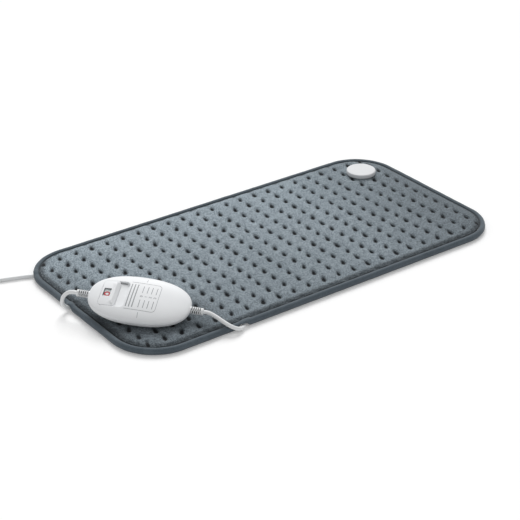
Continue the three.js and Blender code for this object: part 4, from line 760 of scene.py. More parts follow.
def plush_puff(lines_x, lines_y):
    """Filling's swell between the tufts: a coarse cover blown up as cloth, held at tufts and hem."""
    coarse_x, coarse_y = (np.linspace(lines[0], lines[-1], count)
                          for lines, count in zip((lines_x, lines_y), PUFF_GRID))
    x, y = pad_plan(*np.meshgrid(coarse_x, coarse_y, indexing="ij"), CREASE_INSET)
    before = stacked(x, y, plush_height(x, y))
    skin = closed_sheet(before, PLUSH_UNDER)
    blown = piece("plush_blown", skin, "plush")
    held = np.ones(len(skin[0]), bool)
    held[:x.size] = ((tuft_pull(x, y)[0] >= PUFF_FREE[0])
                     | (pad_depth(x, y) <= CREASE_INSET + PUFF_FREE[1])).ravel()
    blown.vertex_groups.new(name="held").add(np.flatnonzero(held).tolist(), 1.0, "REPLACE")
    cloth = blown.modifiers.new("filling", "CLOTH")
    for key, value in PUFF_CLOTH.items():
        setattr(cloth.settings, key, value)
    cloth.settings.effector_weights.gravity = 0
    cloth.point_cache.frame_end = PUFF_FRAMES
    for step in range(1, PUFF_FRAMES + 1):
        scene.frame_set(step)
    swollen = blown.evaluated_get(bpy.context.evaluated_depsgraph_get()).data
    after = np.empty(len(swollen.vertices) * 3, np.float32)
    swollen.vertices.foreach_get("co", after)
    swell = after.reshape(-1, 3)[:x.size, 2].astype(float) * MM - before[..., 2].ravel()
    scene.frame_set(1)
    bpy.data.objects.remove(blown)
    swell = np.clip(swell, 0, PUFF_MOST).reshape(x.shape)
    along = np.apply_along_axis(lambda line: np.interp(lines_x, coarse_x, line), 0, swell)
    return np.apply_along_axis(lambda line: np.interp(lines_y, coarse_y, line), 1, along)


FRONT_SIDE = (-90, -146)  # y where the front border begins and where it is full
FRONT_END = (-235, -290)  # the same for x
SEAM_SHADE = (0.62, 0.25)  # painted shade in the crease, and how much more in front
SEAM_BAND = (4.5, 0.5)  # distances from the crease where that begins and where it is full
ROLL_SHADE = (0.66, 0.1)  # painted shade on the front border's roll, and by how much that varies
ROLL_BAND = (10, 4)
ROLL_RAGGED = (9, 1.2)  # length and depth of the ragged edge of that band
ROLL_NOTCH = 4.0  # how far a dent carries it inwards
PIT_SHADE = (0.97, 0.05)  # painted shade in a pit, and on the ground that a tuft pulls by a millimetre
PIT_BAND = (0.04, 0.75)
# painted shade in the seam's dents
NOTCH_SHADE = 0.9
CASE_SHADE = 0.42  # painted shadow of the controller round its place on the plush
CASE_BAND = (2.1, 1.1)  # in half sizes of the controller
END_SHADE = 0.2  # painted shade towards the pad's end beside it
END_BANDS = ((-225, -280), (125, 85))  # along x and y


def plush_shade(x, y, inward, pull, pit, notch):
    """Painted shade, 0 to 1: the darkest of that in pits, seam, front roll and dents, then the
    controller's painted shadow and the end's.
    """
    front = np.maximum(smoothstep(*FRONT_SIDE, y), smoothstep(*FRONT_END, x))
    seam = (SEAM_SHADE[0] + SEAM_SHADE[1] * front) * smoothstep(*SEAM_BAND, inward)
    rough = waves(x, y, ROLL_RAGGED[0])
    band = smoothstep(*ROLL_BAND, inward + ROLL_RAGGED[1] * rough - ROLL_NOTCH * notch)
    seam = np.maximum(seam, front * (ROLL_SHADE[0] + ROLL_SHADE[1] * rough) * band)
    shaded = PIT_SHADE[0] * smoothstep(*PIT_BAND, pit) + PIT_SHADE[1] * np.minimum(pull, 1)
    shaded = np.maximum(shaded, np.maximum(seam, NOTCH_SHADE * notch))
    # painted shadow of the controller, fading out round its place
    from_place = np.stack([x - CASE_PLACE[0], y - CASE_PLACE[1]], axis=-1)
    in_halves = from_place @ CASE_TURN[:2, :2] / CASE_HALF
    case_shadow = CASE_SHADE * smoothstep(*CASE_BAND, np.hypot(*xy(in_halves)))
    end = END_SHADE * smoothstep(*END_BANDS[0], x) * smoothstep(*END_BANDS[1], y)
    return 1 - (1 - shaded) * (1 - case_shadow) * (1 - end)


RIPPLES = ((0.16, 16), (0.2, 70))  # heights and lengths
RIPPLE_BAND = (0.5, 8)  # distances from the crease where they begin and where they are full
GATHER = (0.25, 9)  # height and length of the gathers along the crease
GATHER_STRAY = (2, 40)  # by how much they are out of step, over what length
GATHER_BAND = (3.2, 2.6)  # distance of their middle from the crease and half width
CASE_CLEAR = (22, 40)  # distances from the controller's lowest point: flat plush, free plush
CAP_CLEAR = 8.0  # from the cap's rim to free plush
PIT_FLOOR_BAND = (0.5, 6)  # distances from the crease where the least height begins and is full
CLOTH_SHARP = 80  # degrees, as CASE_SHARP


def plush_cover():
    """The plush: border roll, tufts, swell, ripples of the nap, gathers and dents along the crease."""
    lines_x, lines_y = tuft_lines(0), tuft_lines(1)
    x, y = pad_plan(*np.meshgrid(lines_x, lines_y, indexing="ij"), CREASE_INSET)
    inward = pad_depth(x, y) - CREASE_INSET
    pull, pit = tuft_pull(x, y)
    notch = seam_notch(x, y)
    swell = plush_puff(lines_x, lines_y)
    ripple = sum(height * waves(x, y, length) for height, length in RIPPLES)
    around = np.where(np.abs(x) / PAD_HALF[0] > np.abs(y) / PAD_HALF[1], y, x)
    phase = around * 2 * np.pi / GATHER[1] + GATHER_STRAY[0] * waves(x, y, GATHER_STRAY[1])
    gather = GATHER[0] * np.sin(phase) * np.exp(-((inward - GATHER_BAND[0]) / GATHER_BAND[1]) ** 2)
    free = smoothstep(*CASE_CLEAR, apart(x, y, belly_rest))
    free = free * smoothstep(CAP_RADIUS, CAP_RADIUS + CAP_CLEAR, apart(x, y, JUNCTION))
    loose = swell * (1 - pit) + smoothstep(*RIPPLE_BAND, inward) * ripple * (1 - pit)
    height = plush_height(x, y) + free * loose + gather * free - NOTCH_DEPTH * notch
    lowest = np.where(np.abs(x) > WIRE_TURN, WIRE_TOP, PLUSH_UNDER + LEAST_PLUSH)
    lowest = PLUSH_EDGE + (lowest - PLUSH_EDGE) * smoothstep(*PIT_FLOOR_BAND, inward)
    skin = closed_sheet(stacked(x, y, np.maximum(height, lowest)), PLUSH_UNDER, HEM_WIDTH)
    made = piece("plush_cover", skin, "plush", replaces=("pad_top_cover",), sharp=CLOTH_SHARP)
    # painted shade of each point: pits, crease, front roll, dents, the controller's shadow, the end;
    # full on the hem and underside
    shade = np.ones(len(skin[0]))
    shade[:x.size] = plush_shade(x, y, inward, pull, pit, notch).ravel()
    paint(made, "tuft", np.clip(shade, 0, 1))


BACK_CREASES = (0.12, 0.1, 45)  # mean height, swing and length
BACK_RANGE = (0.02, 0.25)


def back_cover():
    """Lower cloth: flat on the table with faint creases, lifted where a cord lies under it."""
    lines = [np.linspace(-half, half, int(half)) for half in PAD_HALF - BACK_INSET]
    x, y = pad_plan(*np.meshgrid(*lines, indexing="ij"), BACK_INSET)
    crease = BACK_CREASES[0] + BACK_CREASES[1] * waves(x, y, BACK_CREASES[2])
    height = np.maximum(np.clip(crease, *BACK_RANGE), cord_lift(x, y))
    skin = closed_sheet(stacked(x, y, height), BACK_TOP)
    made = piece("back_cover", skin, "binding_cloth", replaces=("pad_bottom_cover",), sharp=CLOTH_SHARP)


def outline(half, radius, straight, arc):
    """A rounded rectangle's points and outward normals, evenly spaced on its sides and corners."""
    turns = np.linspace(0, np.pi / 2, arc + 1)
    signs = np.array([[1, 1], [-1, 1], [-1, -1], [1, -1]])
    angle = turns + np.arange(4)[:, None] * np.pi / 2
    normal = np.stack([np.cos(angle), np.sin(angle)], axis=-1)
    points = (signs * (np.asarray(half) - radius))[:, None] + radius * normal
    places, ways = [], []
    for quarter in range(4):
        begin, finish = points[quarter, -1], points[(quarter + 1) % 4, 0]
        count = max(int(np.linalg.norm(finish - begin) / straight), 1)
        line = begin + np.linspace(0, 1, count + 1)[1:-1, None] * (finish - begin)
        places += [points[quarter], line]
        ways += [normal[quarter], np.repeat(normal[quarter][-1:], len(line), axis=0)]
    return np.vstack(places), np.vstack(ways)


PIPING_GRID = (2.0, 48, 28)  # mm between its rings, rings of a corner, points of a ring
PIPING_UNEVEN = (0.98, 0.018, 18)  # mean, swing and length of its size
PIPING_ROUND = 9  # mm round the bead that an angle of 1 counts for there
PIPING_LEAST = 0.03  # height above the table
PIPING_SQUEEZE = 0.85
PIPING_SHADE = 0.7  # painted shade on its inner side, in the crease
PIPING_BAND = (0.45, 0.85)  # of its half width


def edge_piping():
    """An oval bead with an outward lean carried along the outline, uneven, squeezed over the cords."""
    wide, high = PIPING_HALF
    middle, normal = outline(PAD_HALF - wide, PAD_CORNER - wide, *PIPING_GRID[:2])
    angle = full_turn(PIPING_GRID[2])
    step = np.linalg.norm(np.diff(middle, axis=0, append=middle[:1]), axis=1)
    along = np.concatenate([[0], np.cumsum(step)])[:-1]
    mean, swing, length = PIPING_UNEVEN
    uneven = mean + swing * waves(along[:, None], angle[None] * PIPING_ROUND, length)
    across = wide * uneven * np.cos(angle) + PIPING_LEAN * np.clip(np.sin(angle), 0, 1) ** 2
    x = middle[:, None, 0] + normal[:, None, 0] * across
    y = middle[:, None, 1] + normal[:, None, 1] * across
    z = np.maximum(high * (1 + uneven * np.sin(angle)), PIPING_LEAST)
    lift = cord_lift(x, y)
    z = lift + z * (1 - PIPING_SQUEEZE * lift / (2 * high))
    made = piece("edge_binding", ringed(stacked(x, y, z)), "binding_cloth", replaces=("edge_piping",),
                 sharp=CLOTH_SHARP)
    # painted shade on the bead's inner side, in the crease
    paint(made, "crease", np.tile(PIPING_SHADE * smoothstep(*PIPING_BAND, -np.cos(angle)), len(middle)))


def junction_disc():
    """A turned cap: flat underside, upright wall and a rounded upper edge with a faint dome."""
    turns = np.linspace(0, np.pi / 2, CAP_GRID[0])
    edge_radius = CAP_RADIUS - CAP_EDGE + CAP_EDGE * np.cos(turns)
    edge_height = CAP_TOP - CAP_EDGE + CAP_EDGE * np.sin(turns)
    radius = np.concatenate([CAP_FOOT[:, 0], edge_radius, CAP_DOME[:, 0]])
    height = np.concatenate([CAP_BOTTOM + CAP_FOOT[:, 1], edge_height, CAP_TOP + CAP_DOME[:, 1]])
    rows = polar(JUNCTION, radius[:, None], full_turn(CAP_GRID[1]), height[:, None])
    piece("junction_disc", lofted(rows), "white_plastic", replaces=("junction_cap",), ink="cap_plastic")


# Controller

def crown(x, y, half=CASE_HALF, height=CASE_TOP):
    """Height of the oval's crown: (1 - |x/a|^n - |y/b|^n)^(1/n) of its full height."""
    left = 1 - (np.abs(x) / half[0]) ** CASE_POWER - (np.abs(y) / half[1]) ** CASE_POWER
    return PARTING + height * np.maximum(left, 0) ** (1 / CASE_POWER)


def oval_rim(middle, direction, half, most=200.0, halvings=50):
    """Where rays from a point meet the oval, by halving the interval that holds the rim."""
    low, high = np.zeros(len(direction)), np.full(len(direction), most)
    for _ in range(halvings):
        half_way = (low + high) / 2
        place = np.abs(middle + direction * half_way[:, None]) / half
        inside = (place ** CASE_POWER).sum(1) < 1
        low, high = np.where(inside, half_way, low), np.where(inside, high, half_way)
    return middle + direction * low[:, None]


def quarter_sine(start, end, count):
    """Shares that crowd towards a rim, to scale plan points: sin(90 degrees t), t from start to end."""
    return np.sin(np.linspace(start, end, count) * np.pi / 2)[:, None, None]


TRACK_STEP = 0.8  # mm between the points of the track's edge
CORNER_STEPS = 10  # of the controller's rounded corners
CROWN_RINGS = (44, 12)  # outside and inside
BELLY_RINGS = (40, 14)
BELLY_STEPS = 144  # points of a ring
BELLY_POLE = 0.02  # share of the first ring round a pole


def top_shell():
    """Crown between the track's opening and the oval rim, with a lip, a parting face and inner skin."""
    edge, normal = outline(TRACK_SIZE / 2, TRACK_CORNER, TRACK_STEP, CORNER_STEPS)
    edge = edge + TRACK_MIDDLE
    ray = unit(edge - TRACK_MIDDLE)
    start, tray = edge + normal * TRACK_LIP, edge + normal * CASE_WALL
    rim, inner_rim = (oval_rim(TRACK_MIDDLE, ray, half) for half in (CASE_HALF, CASE_INNER))
    plan = start + quarter_sine(0, 1, CROWN_RINGS[0]) * (rim - start)
    inner = tray + quarter_sine(1, 0, CROWN_RINGS[1]) * (inner_rim - tray)
    under = np.minimum(crown(*xy(inner), CASE_INNER, CASE_TOP - CASE_WALL), TRACK_WALL[1])
    level = crown(*xy(start))
    lip = [stacked(*xy(edge), TRACK_WALL[0]), stacked(*xy(edge), level - TRACK_LIP),
           stacked(*xy(edge + LIP_SHARE * TRACK_LIP * normal), level - LIP_SHARE * TRACK_LIP)]
    rows = np.concatenate([np.array(lip), stacked(*xy(plan), crown(*xy(plan))),
                           stacked(*xy(inner), under)])
    piece("case_crown", case_skin(ringed(rows)), "white_plastic", replaces=("controller_top_shell",),
          sharp=CASE_SHARP)


def belly():
    """Lower half of the oval with its wall: inner pole, over the parting face, to the outer pole."""
    angle = full_turn(BELLY_STEPS)
    ray = np.stack([np.cos(angle), np.sin(angle)], axis=-1)
    rim = oval_rim(np.zeros(2), ray * CASE_HALF / CASE_HALF.max(), CASE_HALF)
    inside = quarter_sine(BELLY_POLE, 1, BELLY_RINGS[1]) * (rim * CASE_INNER / CASE_HALF)
    outside = quarter_sine(1, BELLY_POLE, BELLY_RINGS[0]) * rim
    return case_skin(lofted(np.concatenate([
        stacked(*xy(inside), -crown(*xy(inside), CASE_INNER, CASE_BOTTOM - CASE_WALL)),
        stacked(*xy(outside), -crown(*xy(outside), CASE_HALF, CASE_BOTTOM))])))


belly_skin = belly()
belly_rest = belly_skin[0][belly_skin[0][:, 2].argmin()]
piece("case_belly", belly_skin, "white_plastic", replaces=("controller_bottom_shell",), sharp=CASE_SHARP)


def box_skin(middle, size, low, high):
    """A block in the controller's frame with a middle, a size and two heights: two rings of four."""
    corners = np.array([[-1, -1], [1, -1], [1, 1], [-1, 1]]) * np.asarray(size) / 2 + middle
    return case_skin(lofted(np.array([stacked(*xy(corners), low), stacked(*xy(corners), high)])))


def cut_by(target, skins):
    """Takes closed skins out of a piece, and leaves the result as its mesh."""
    cutters = []
    for skin in skins:
        cutters.append(piece("cutter", skin, "white_plastic"))
        cut = target.modifiers.new("cut", "BOOLEAN")
        cut.object = cutters[-1]
        cut.solver = "EXACT"
    graph = bpy.context.evaluated_depsgraph_get()
    mesh = bpy.data.meshes.new_from_object(target.evaluated_get(graph))
    target.modifiers.clear()
    target.data = mesh
    mesh.set_sharp_from_angle(angle=np.radians(CASE_SHARP))
    for cutter in cutters:
        bpy.data.objects.remove(cutter)


FLOOR_STEP = 3.0  # mm between the points of the floor's edge
FLOOR_PLAY = 0.03  # between the track's floor and wall
CUT_HEIGHTS = (2, 8)  # below and above the track's floor


def track_floor():
    """Flat plate that closes the track from below, with the stem's slot and the inlay's seat."""
    edge, normal = outline(TRACK_SIZE / 2, TRACK_CORNER, FLOOR_STEP, CORNER_STEPS)
    edge = edge + TRACK_MIDDLE - FLOOR_PLAY * normal
    plate = lofted(np.array([stacked(*xy(edge), TRACK_UNDER), stacked(*xy(edge), TRACK_FLOOR)]))
    floor = piece("track_floor", case_skin(plate), "white_plastic", replaces=("controller_top_shell",),
                  sharp=FLAT_SHARP)
    slot = box_skin(STEM_PLACE + [SLIDE_TRAVEL / 2, 0],
                    STEM_SIZE + [SLIDE_TRAVEL + STEM_PLAY, STEM_PLAY], *CUT_HEIGHTS)
    seat = box_skin(WINDOW_MIDDLE, SCALE_SIZE, TRACK_FLOOR - SCALE_SEAT, CUT_HEIGHTS[1])
    cut_by(floor, [slot, seat])


def rectangle(low, high):
    """Four corners from the lowest and the highest."""
    return np.array([low, [high[0], low[1]], high, [low[0], high[1]]])


def slider_top(x, y):
    """The crown, then the thumb ridge: a ramp up to a rounded crest and a slope to the inner end."""
    plain = crown(x, y, CASE_HALF + SLIDER_PROUD, CASE_TOP + SLIDER_PROUD)
    along = x - SLIDER_START
    sample = np.linspace(RIDGE_PROFILE[0, 0], RIDGE_PROFILE[-1, 0], RIDGE_STEPS)
    line = np.pad(np.interp(sample, *RIDGE_PROFILE.T), RIDGE_ROUNDING // 2 - 1, mode="edge")
    bell = np.hanning(RIDGE_ROUNDING)
    ridge = np.interp(along, sample, np.convolve(line, bell[1:-1] / bell.sum(), "valid"))
    within = smoothstep(*RIDGE_SIDES, np.abs(y - TRACK_MIDDLE[1]))
    rising = np.maximum(plain, plain + (ridge - plain) * within)
    falling = np.minimum(ridge, np.maximum(plain, plain + RIDGE_RISE * within))
    return np.where(along < RIDGE_PROFILE[2, 0], rising, falling)


LEAST_WALL = 0.05  # under a lip
SLIDER_STEP = 0.5  # mm between the points of the slider's outline
SLIDER_RINGS = 60


def slider():
    """A plate between the window's edge and the slider's outline, walls below, small rounded edges."""
    middle = np.array([SLIDER_START + SLIDER_SIZE[0] / 2, TRACK_MIDDLE[1]])
    outer, normal = outline(SLIDER_SIZE / 2, SLIDER_CORNER, SLIDER_STEP, CORNER_STEPS)
    outer = outer + middle
    ray = outer - WINDOW_MIDDLE
    inner = WINDOW_MIDDLE + ray / (np.abs(ray) / (WINDOW_SIZE / 2)).max(1)[:, None]
    away = unit(ray)
    first, last = inner + away * SLIDER_LIP, outer - normal * SLIDER_LIP
    plan = first + np.linspace(0, 1, SLIDER_RINGS)[:, None, None] * (last - first)
    at_groove = np.abs(outer[:, 1] - middle[1]) < GROOVE_HALF
    at_groove &= outer[:, 0] < SLIDER_START + GROOVE_MOUTH
    foot = np.where(at_groove, GROOVE_TOP, SLIDER_BOTTOM)
    bevel = LIP_SHARE * SLIDER_LIP
    near, far = slider_top(*xy(first)), slider_top(*xy(last))
    begin = [stacked(*xy(inner), GROOVE_TOP), stacked(*xy(inner), near - SLIDER_LIP),
             stacked(*xy(inner + bevel * away), near - bevel)]
    top = stacked(*xy(plan), slider_top(*xy(plan)))
    end = [stacked(*xy(outer - bevel * normal), far - bevel),
           stacked(*xy(outer), np.maximum(far - SLIDER_LIP, foot + LEAST_WALL)),
           stacked(*xy(outer), foot)]
    cap = ringed(np.concatenate([np.array(begin), top, np.array(end)]))
    piece("level_slide_cap", case_skin(cap), "white_plastic", "level_slider",
          replaces=("slide_switch",), sharp=CASE_SHARP)
    # A dark grey piece round the window's inner walls: painted shade where they are in shadow.
    low, high = WINDOW_MIDDLE - WINDOW_SIZE / 2, WINDOW_MIDDLE + WINDOW_SIZE / 2
    rim = rectangle(low - SHADE_PIECE_BITE, high + SHADE_PIECE_BITE)
    throat = rectangle(low + SHADE_PIECE_LOW, high - SHADE_PIECE_HIGH)
    shade_ring = ringed(np.array([
        stacked(*xy(rim), GROOVE_TOP), stacked(*xy(rim), slider_top(*xy(rim)) - SHADE_PIECE_SUNK),
        stacked(*xy(throat), GROOVE_TOP + SHADE_PIECE_EDGE), stacked(*xy(throat), GROOVE_TOP)]))
    piece("window_shade_piece", case_skin(shade_ring), "black_plastic", "level_slider", sharp=FLAT_SHARP,
          ink="window_shade_grey")
    piece("level_slide_stem", box_skin(STEM_PLACE, STEM_SIZE, STEM_FOOT, SLIDER_BOTTOM), "white_plastic",
          "level_slider", replaces=("slide_switch",), sharp=FLAT_SHARP)


# Print

PRINT_LIFT = (0.1, -0.05)  # of a stroke's top above the surface and of its underside
PANEL_COLUMNS = (2.5, 8.4, 13.9, 19.9)  # of the four levels
DIGIT_SIDE = -0.3
DIGIT_HEIGHT = 3.0
MARK_SPANS = ((17, 5.5), (-6, -18))  # beside the numbers
LINE_COLUMNS = (-13.1, -9.1, -5.2)
LINE_HALF = 19
FRAME_ENDS = (-14.5, 24.4)
FRAME_HALF = 22.3
FRAME_CORNER = 5.0
FRAME_RUNS = (16, 19)  # where the straight runs behind the corners begin
FRAME_TICKS = (((4, 30.4), (3.3, 25.6), 6), ((4.3, -25.4), (4.9, -32.5), 8))  # from, to, points
ZERO_SHIFT = np.array([0.3, -1.5])  # of the 0 from the window's middle
ZERO_HALF = (3.2, 2.9)
STROKES = {  # widths
    "panel_lines": 1.25, "panel_numbers": 0.55, "panel_marks": 0.8, "panel_frame": 0.5,
    "level_zero": 2.2}
LINE_POINTS = 24
MARK_POINTS = 8
FRAME_POINTS = (12, 10)  # of a run, of a corner
ZERO_POINTS = 48


def ribbon(name, paths, surface=crown, slot="white_plastic", ink="grey_print"):
    """Printed strokes: each path widened to a flat band that lies a little proud of the surface."""
    skins, offset = [], 0
    for path, closed in paths:
        path = np.asarray(path, float)
        if closed:
            heading = np.roll(path, -1, axis=0) - np.roll(path, 1, axis=0)
        else:
            heading = np.gradient(path, axis=0)
        heading = unit(heading)
        side = np.stack([-heading[:, 1], heading[:, 0]], axis=-1) * STROKES[name] / 2
        left, right = path + side, path - side
        above, below = PRINT_LIFT
        rows = np.stack([stacked(*xy(p), surface(*xy(p)) + lift) for p, lift in (
            (left, above), (right, above), (right, below), (left, below))], axis=1)
        points, quads, fans = ringed(rows) if closed else lofted(rows)
        skins.append((points, quads + offset, fans + offset))
        offset += len(points)
    skin = tuple(np.vstack([s[k] for s in skins]) for k in range(3))
    piece(name, case_skin(skin), slot, ink=ink, sharp=FLAT_SHARP)


def bend(middle, size, start, end, count=24):
    """An arc of an ellipse between two angles in degrees."""
    angle = np.radians(np.linspace(start, end, count))
    return np.asarray(middle) + np.asarray(size) * np.stack([np.cos(angle), np.sin(angle)], axis=-1)


def upright(strokes, place, height):
    """Strokes drawn with x to the right and y up, set on the panel, where right is +y and up is -x."""
    return [(np.asarray(place) + np.asarray(path)[:, ::-1] * [-height, height], closed)
            for path, closed in strokes]


DIGITS = (  # 0 to 3, one unit high about their middle: points of a stroke, and whether it is closed
    [(bend((0, 0), (0.3, 0.5), 0, 360, 33)[:-1], True)],
    [([[-0.16, 0.3], [-0.02, 0.42], [0.06, 0.5], [0.06, 0.0], [0.06, -0.5]], False)],
    [(np.vstack([bend((0, 0.22), (0.28, 0.28), 165, -35, 14), [[-0.28, -0.47]]]), False),
     ([[-0.3, -0.47], [0, -0.47], [0.3, -0.47]], False)],
    [(np.vstack([bend((-0.02, 0.25), (0.27, 0.25), 150, -80, 14),
                 bend((-0.02, -0.24), (0.3, 0.26), 80, -150, 14)]), False)],
)


def panel_print():
    """Plain grey lines, the numbers 0 to 3 and a frame line on the crown; a red 0 in the window."""
    ribbon("panel_lines", [(np.linspace((x, LINE_HALF), (x, -LINE_HALF), LINE_POINTS), False)
                           for x in LINE_COLUMNS])
    ribbon("panel_numbers", [stroke for digit, x in zip(DIGITS, PANEL_COLUMNS)
                             for stroke in upright(digit, (x, DIGIT_SIDE), DIGIT_HEIGHT)])
    ribbon("panel_marks", [(np.linspace((x, begin), (x, end), MARK_POINTS), False)
                           for x in PANEL_COLUMNS for begin, end in MARK_SPANS])
    start, end = FRAME_ENDS
    corner_x, corner_y = end - FRAME_CORNER, FRAME_HALF - FRAME_CORNER
    run, corner = FRAME_POINTS
    frame_line = np.vstack([
        np.linspace((start, FRAME_HALF), (corner_x, FRAME_HALF), run),
        bend((corner_x, corner_y), FRAME_CORNER, 90, 0, corner),
        np.linspace((end, FRAME_RUNS[0]), (end, -FRAME_RUNS[0]), run),
        bend((corner_x, -corner_y), FRAME_CORNER, 0, -90, corner),
        np.linspace((FRAME_RUNS[1], -FRAME_HALF), (start, -FRAME_HALF), run)])
    ribbon("panel_frame", [(frame_line, False)] + [(np.linspace(*tick), False) for tick in FRAME_TICKS])
    zero = bend(WINDOW_MIDDLE + ZERO_SHIFT, ZERO_HALF, 0, 360, ZERO_POINTS + 1)[:-1]
    ribbon("level_zero", [(zero, True)], lambda x, y: np.full(np.shape(x), SCALE_TOP), "scale_plastic",
           "red_print")


# Strain reliefs and plug

SLOT_COUNT = 5  # along a row
SLOT_HALF = (0.27, 0.2)  # of a slot's pitch: at its rim and its floor
SLOT_SPAN = (0.5, 0.62)  # squared cosines round the sleeve where a slot begins and is full
SLOT_EDGE = 0.3
SLOT_WALL = 0.1  # left over the cord
SLEEVE_ROUND = 0.5  # of its end
SLEEVE_GRID = (190, 72)  # rings, points of a ring
PLUG_SLEEVE = (20.0, 2.0, 4.4, 4.0)  # length, start of the slots, first and last radius
PLUG_SLEEVE_END = 20.2  # along +Y from where the cord goes in
PLUG_START = 20.3
PLUG_LENGTH = 36
PLUG_PROFILE = np.array([  # along, half width, half thickness
    [0, 5.5, 5.2], [0.4, 6.4, 6.0], [1.5, 7.0, 6.6], [6, 9.2, 6.9], [12, 12.4, 7.0], [15, 13.0, 7.0],
    [25, 13.0, 7.0], [34, 13.0, 7.0], [35.4, 12.6, 6.7], [PLUG_LENGTH, 11.6, 5.8]])
PLUG_BOX = 0.45  # power that squares the section, 1 is an ellipse
PLUG_GRID = (49, 64)  # rings, points of a ring
PIN_STEPS = 28
PIN_START = 56.6
PIN_SIDE = 9.3
PIN_PROFILE = np.array([[0, 2.0], [17.6, 2.0], [18.5, 1.6], [19, 0.9]])  # along, radius


def relief_sleeve(length, start, wide, narrow):
    """A tapered sleeve with four staggered rows of slots: its radius falls where a slot is open."""
    along = np.linspace(0, length, SLEEVE_GRID[0])[:, None]
    angle = full_turn(SLEEVE_GRID[1])[None]
    radius = wide + (narrow - wide) * along / length
    stop = length - SLEEVE_COLLAR
    pitch = (length - start - SLEEVE_COLLAR) / SLOT_COUNT
    inside = smoothstep(start, start + SLOT_EDGE, along) * smoothstep(stop, stop - SLOT_EDGE, along)
    slots = np.zeros(np.broadcast(along, angle).shape)
    for row in range(2):
        phase = (along - start) / pitch + 0.5 * row
        ring = smoothstep(*SLOT_HALF, np.abs(phase - np.floor(phase) - 0.5))
        across = smoothstep(*SLOT_SPAN, np.cos(angle - np.pi / 2 * (1 - row)) ** 2)
        slots = np.maximum(slots, ring * inside * across)
    ends = smoothstep(0, SLEEVE_ROUND, length - along) * SLEEVE_ROUND - SLEEVE_ROUND
    radius = radius - (radius - CORD_RADIUS - SLOT_WALL) * slots + ends
    return stacked(along, radius * np.cos(angle), radius * np.sin(angle)), slots


def relief(name, rows, slots, replaces):
    """A sleeve as a piece that knows where its slots are."""
    made = piece(name, lofted(rows), "white_cord", replaces=replaces, sharp=50, ink="slotted_cord")
    # the slots' share, which the material darkens as painted shade
    paint(made, "slot", np.append(slots.ravel(), [0, 0]))
    return made


def strain_reliefs():
    """The two sleeves on the case and the one on the plug."""
    length = RELIEF_END - RELIEF_START
    sleeve, slots = relief_sleeve(length, length - RELIEF_SLOTS, *RELIEF_RADII)
    right = from_case(sleeve + [RELIEF_START, 0, RELIEF_AXIS])
    left = from_case(sleeve * [-1, 1, 1] + [-RELIEF_START, 0, RELIEF_AXIS])
    relief("relief_pad_side", right, slots, ("strain_relief_pad",))
    relief("relief_mains_side", left, slots, ("strain_relief_mains",))
    sleeve, slots = relief_sleeve(*PLUG_SLEEVE)
    along, aside, up = np.moveaxis(sleeve, -1, 0)
    rows = stacked(PLUG[0] + aside, PLUG[1] + PLUG_SLEEVE_END - along, PLUG[2] + up)
    return relief("relief_plug", rows, slots, ("plug_strain_relief",))


def plug():
    """Flat moulded plug: a rounded box section that widens at the shoulders, and two turned pins."""
    along = np.linspace(0, PLUG_LENGTH, PLUG_GRID[0])
    wide, thick = (np.interp(along, PLUG_PROFILE[:, 0], PLUG_PROFILE[:, k])[:, None] for k in (1, 2))
    angle = full_turn(PLUG_GRID[1])
    box_x, box_z = (np.sign(wave) * np.abs(wave) ** PLUG_BOX for wave in (np.cos(angle), np.sin(angle)))
    rows = stacked(PLUG[0] + wide * box_x, PLUG[1] + PLUG_START + along[:, None],
                   PLUG[2] + thick * box_z)
    parts = [piece("plug_moulding", lofted(rows), "white_cord", replaces=("plug_body",), sharp=60)]
    pin_along, pin_radius = np.split(PIN_PROFILE, 2, axis=1)
    angle = full_turn(PIN_STEPS)
    for number, side in enumerate((-1, 1), 1):
        pin = stacked(PLUG[0] + side * PIN_SIDE + pin_radius * np.cos(angle),
                      PLUG[1] + PIN_START + pin_along, PLUG[2] + pin_radius * np.sin(angle))
        parts.append(piece(f"plug_prong_{number}", lofted(pin), "steel",
                           replaces=(f"plug_pin_{number}",)))
    return parts


top_shell()
track_floor()
slider()
panel_print()
plug_relief = strain_reliefs()
plug_parts = plug()
junction_disc()
edge_piping()
back_cover()
plush_cover()

for part in frame["record"]["subparts"]:
    solid = frame["nodes"][part["node"]]
    solid.data.materials.clear()
    solid.data.materials.append(MATERIALS[part["material_slot"]])


# Floor and light

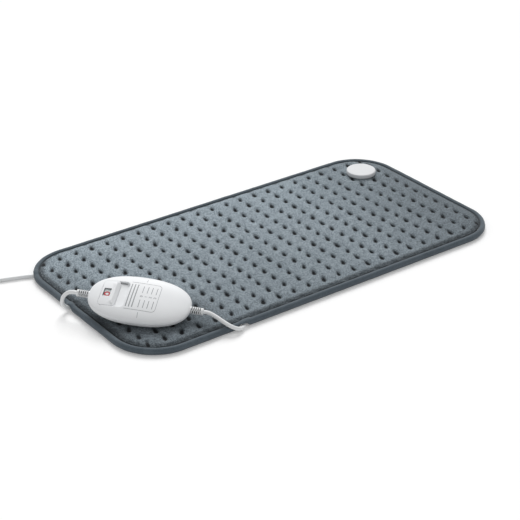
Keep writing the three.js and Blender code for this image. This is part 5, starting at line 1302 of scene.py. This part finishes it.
FLOOR = 30.0  # metres from the middle to the floor's edge
FLOOR_LIFT = 0.2  # what the eye's rays gain on the lit paper, so that it is white outside the shadow
SKY_LIGHT = 0.47  # strength of the sky as a light; as a background it is 1, plain white
LAMP_STRENGTH = 2.05
LAMP_WIDTH = 32  # degrees
LAMP_HEADING = 145
LAMP_LEAN = 46  # off the upright


def seen_ray(tree):
    """1 for the rays of the camera, of mirrors and of glass, else 0."""
    path = node(tree, "ShaderNodeLightPath").outputs
    seen = path["Is Camera Ray"]
    for ray in ("Is Glossy Ray", "Is Transmission Ray"):
        seen = node(tree, "ShaderNodeMath", {0: seen, 1: path[ray]}, operation="MAXIMUM").outputs[0]
    return seen


def floor():
    """White paper sweep: diffuse for light and shadow, lifted to white for the camera and mirrors."""
    mesh = bpy.data.meshes.new("floor")
    corners = rectangle((-FLOOR, -FLOOR), (FLOOR, FLOOR))
    mesh.from_pydata([(x, y, 0) for x, y in corners], [], [(0, 1, 2, 3)])
    made = bpy.data.objects.new("floor", mesh)
    scene.collection.objects.link(made)
    paper, tree, shader = material("paper_white", "#f2f2f2", Roughness=1.0, Specular_IOR_Level=0.0,
                                   Emission_Color=(1, 1, 1, 1))
    lift = node(tree, "ShaderNodeMath", {0: seen_ray(tree), 1: FLOOR_LIFT}, operation="MULTIPLY")
    fill(tree, shader, {"Emission Strength": lift.outputs[0]})
    mesh.materials.append(paper)


def lights():
    """A soft sky all round and one broad soft lamp behind the pad, on the side of +X and +Y."""
    scene.world = bpy.data.worlds.new("studio")
    scene.world.use_nodes = True
    tree = scene.world.node_tree
    level = node(tree, "ShaderNodeMapRange", {"Value": seen_ray(tree), "To Min": SKY_LIGHT,
                                              "To Max": 1.0})
    fill(tree, tree.nodes["Background"], {"Color": (1, 1, 1, 1), "Strength": level.outputs[0]})
    data = bpy.data.lights.new("window_behind", "SUN")
    data.energy = LAMP_STRENGTH
    data.angle = np.radians(LAMP_WIDTH)
    lamp = bpy.data.objects.new("window_behind", data)
    scene.collection.objects.link(lamp)
    lamp.matrix_world = Matrix((turn(2, LAMP_HEADING) @ turn(0, LAMP_LEAN)).tolist()).to_4x4()


floor()
lights()
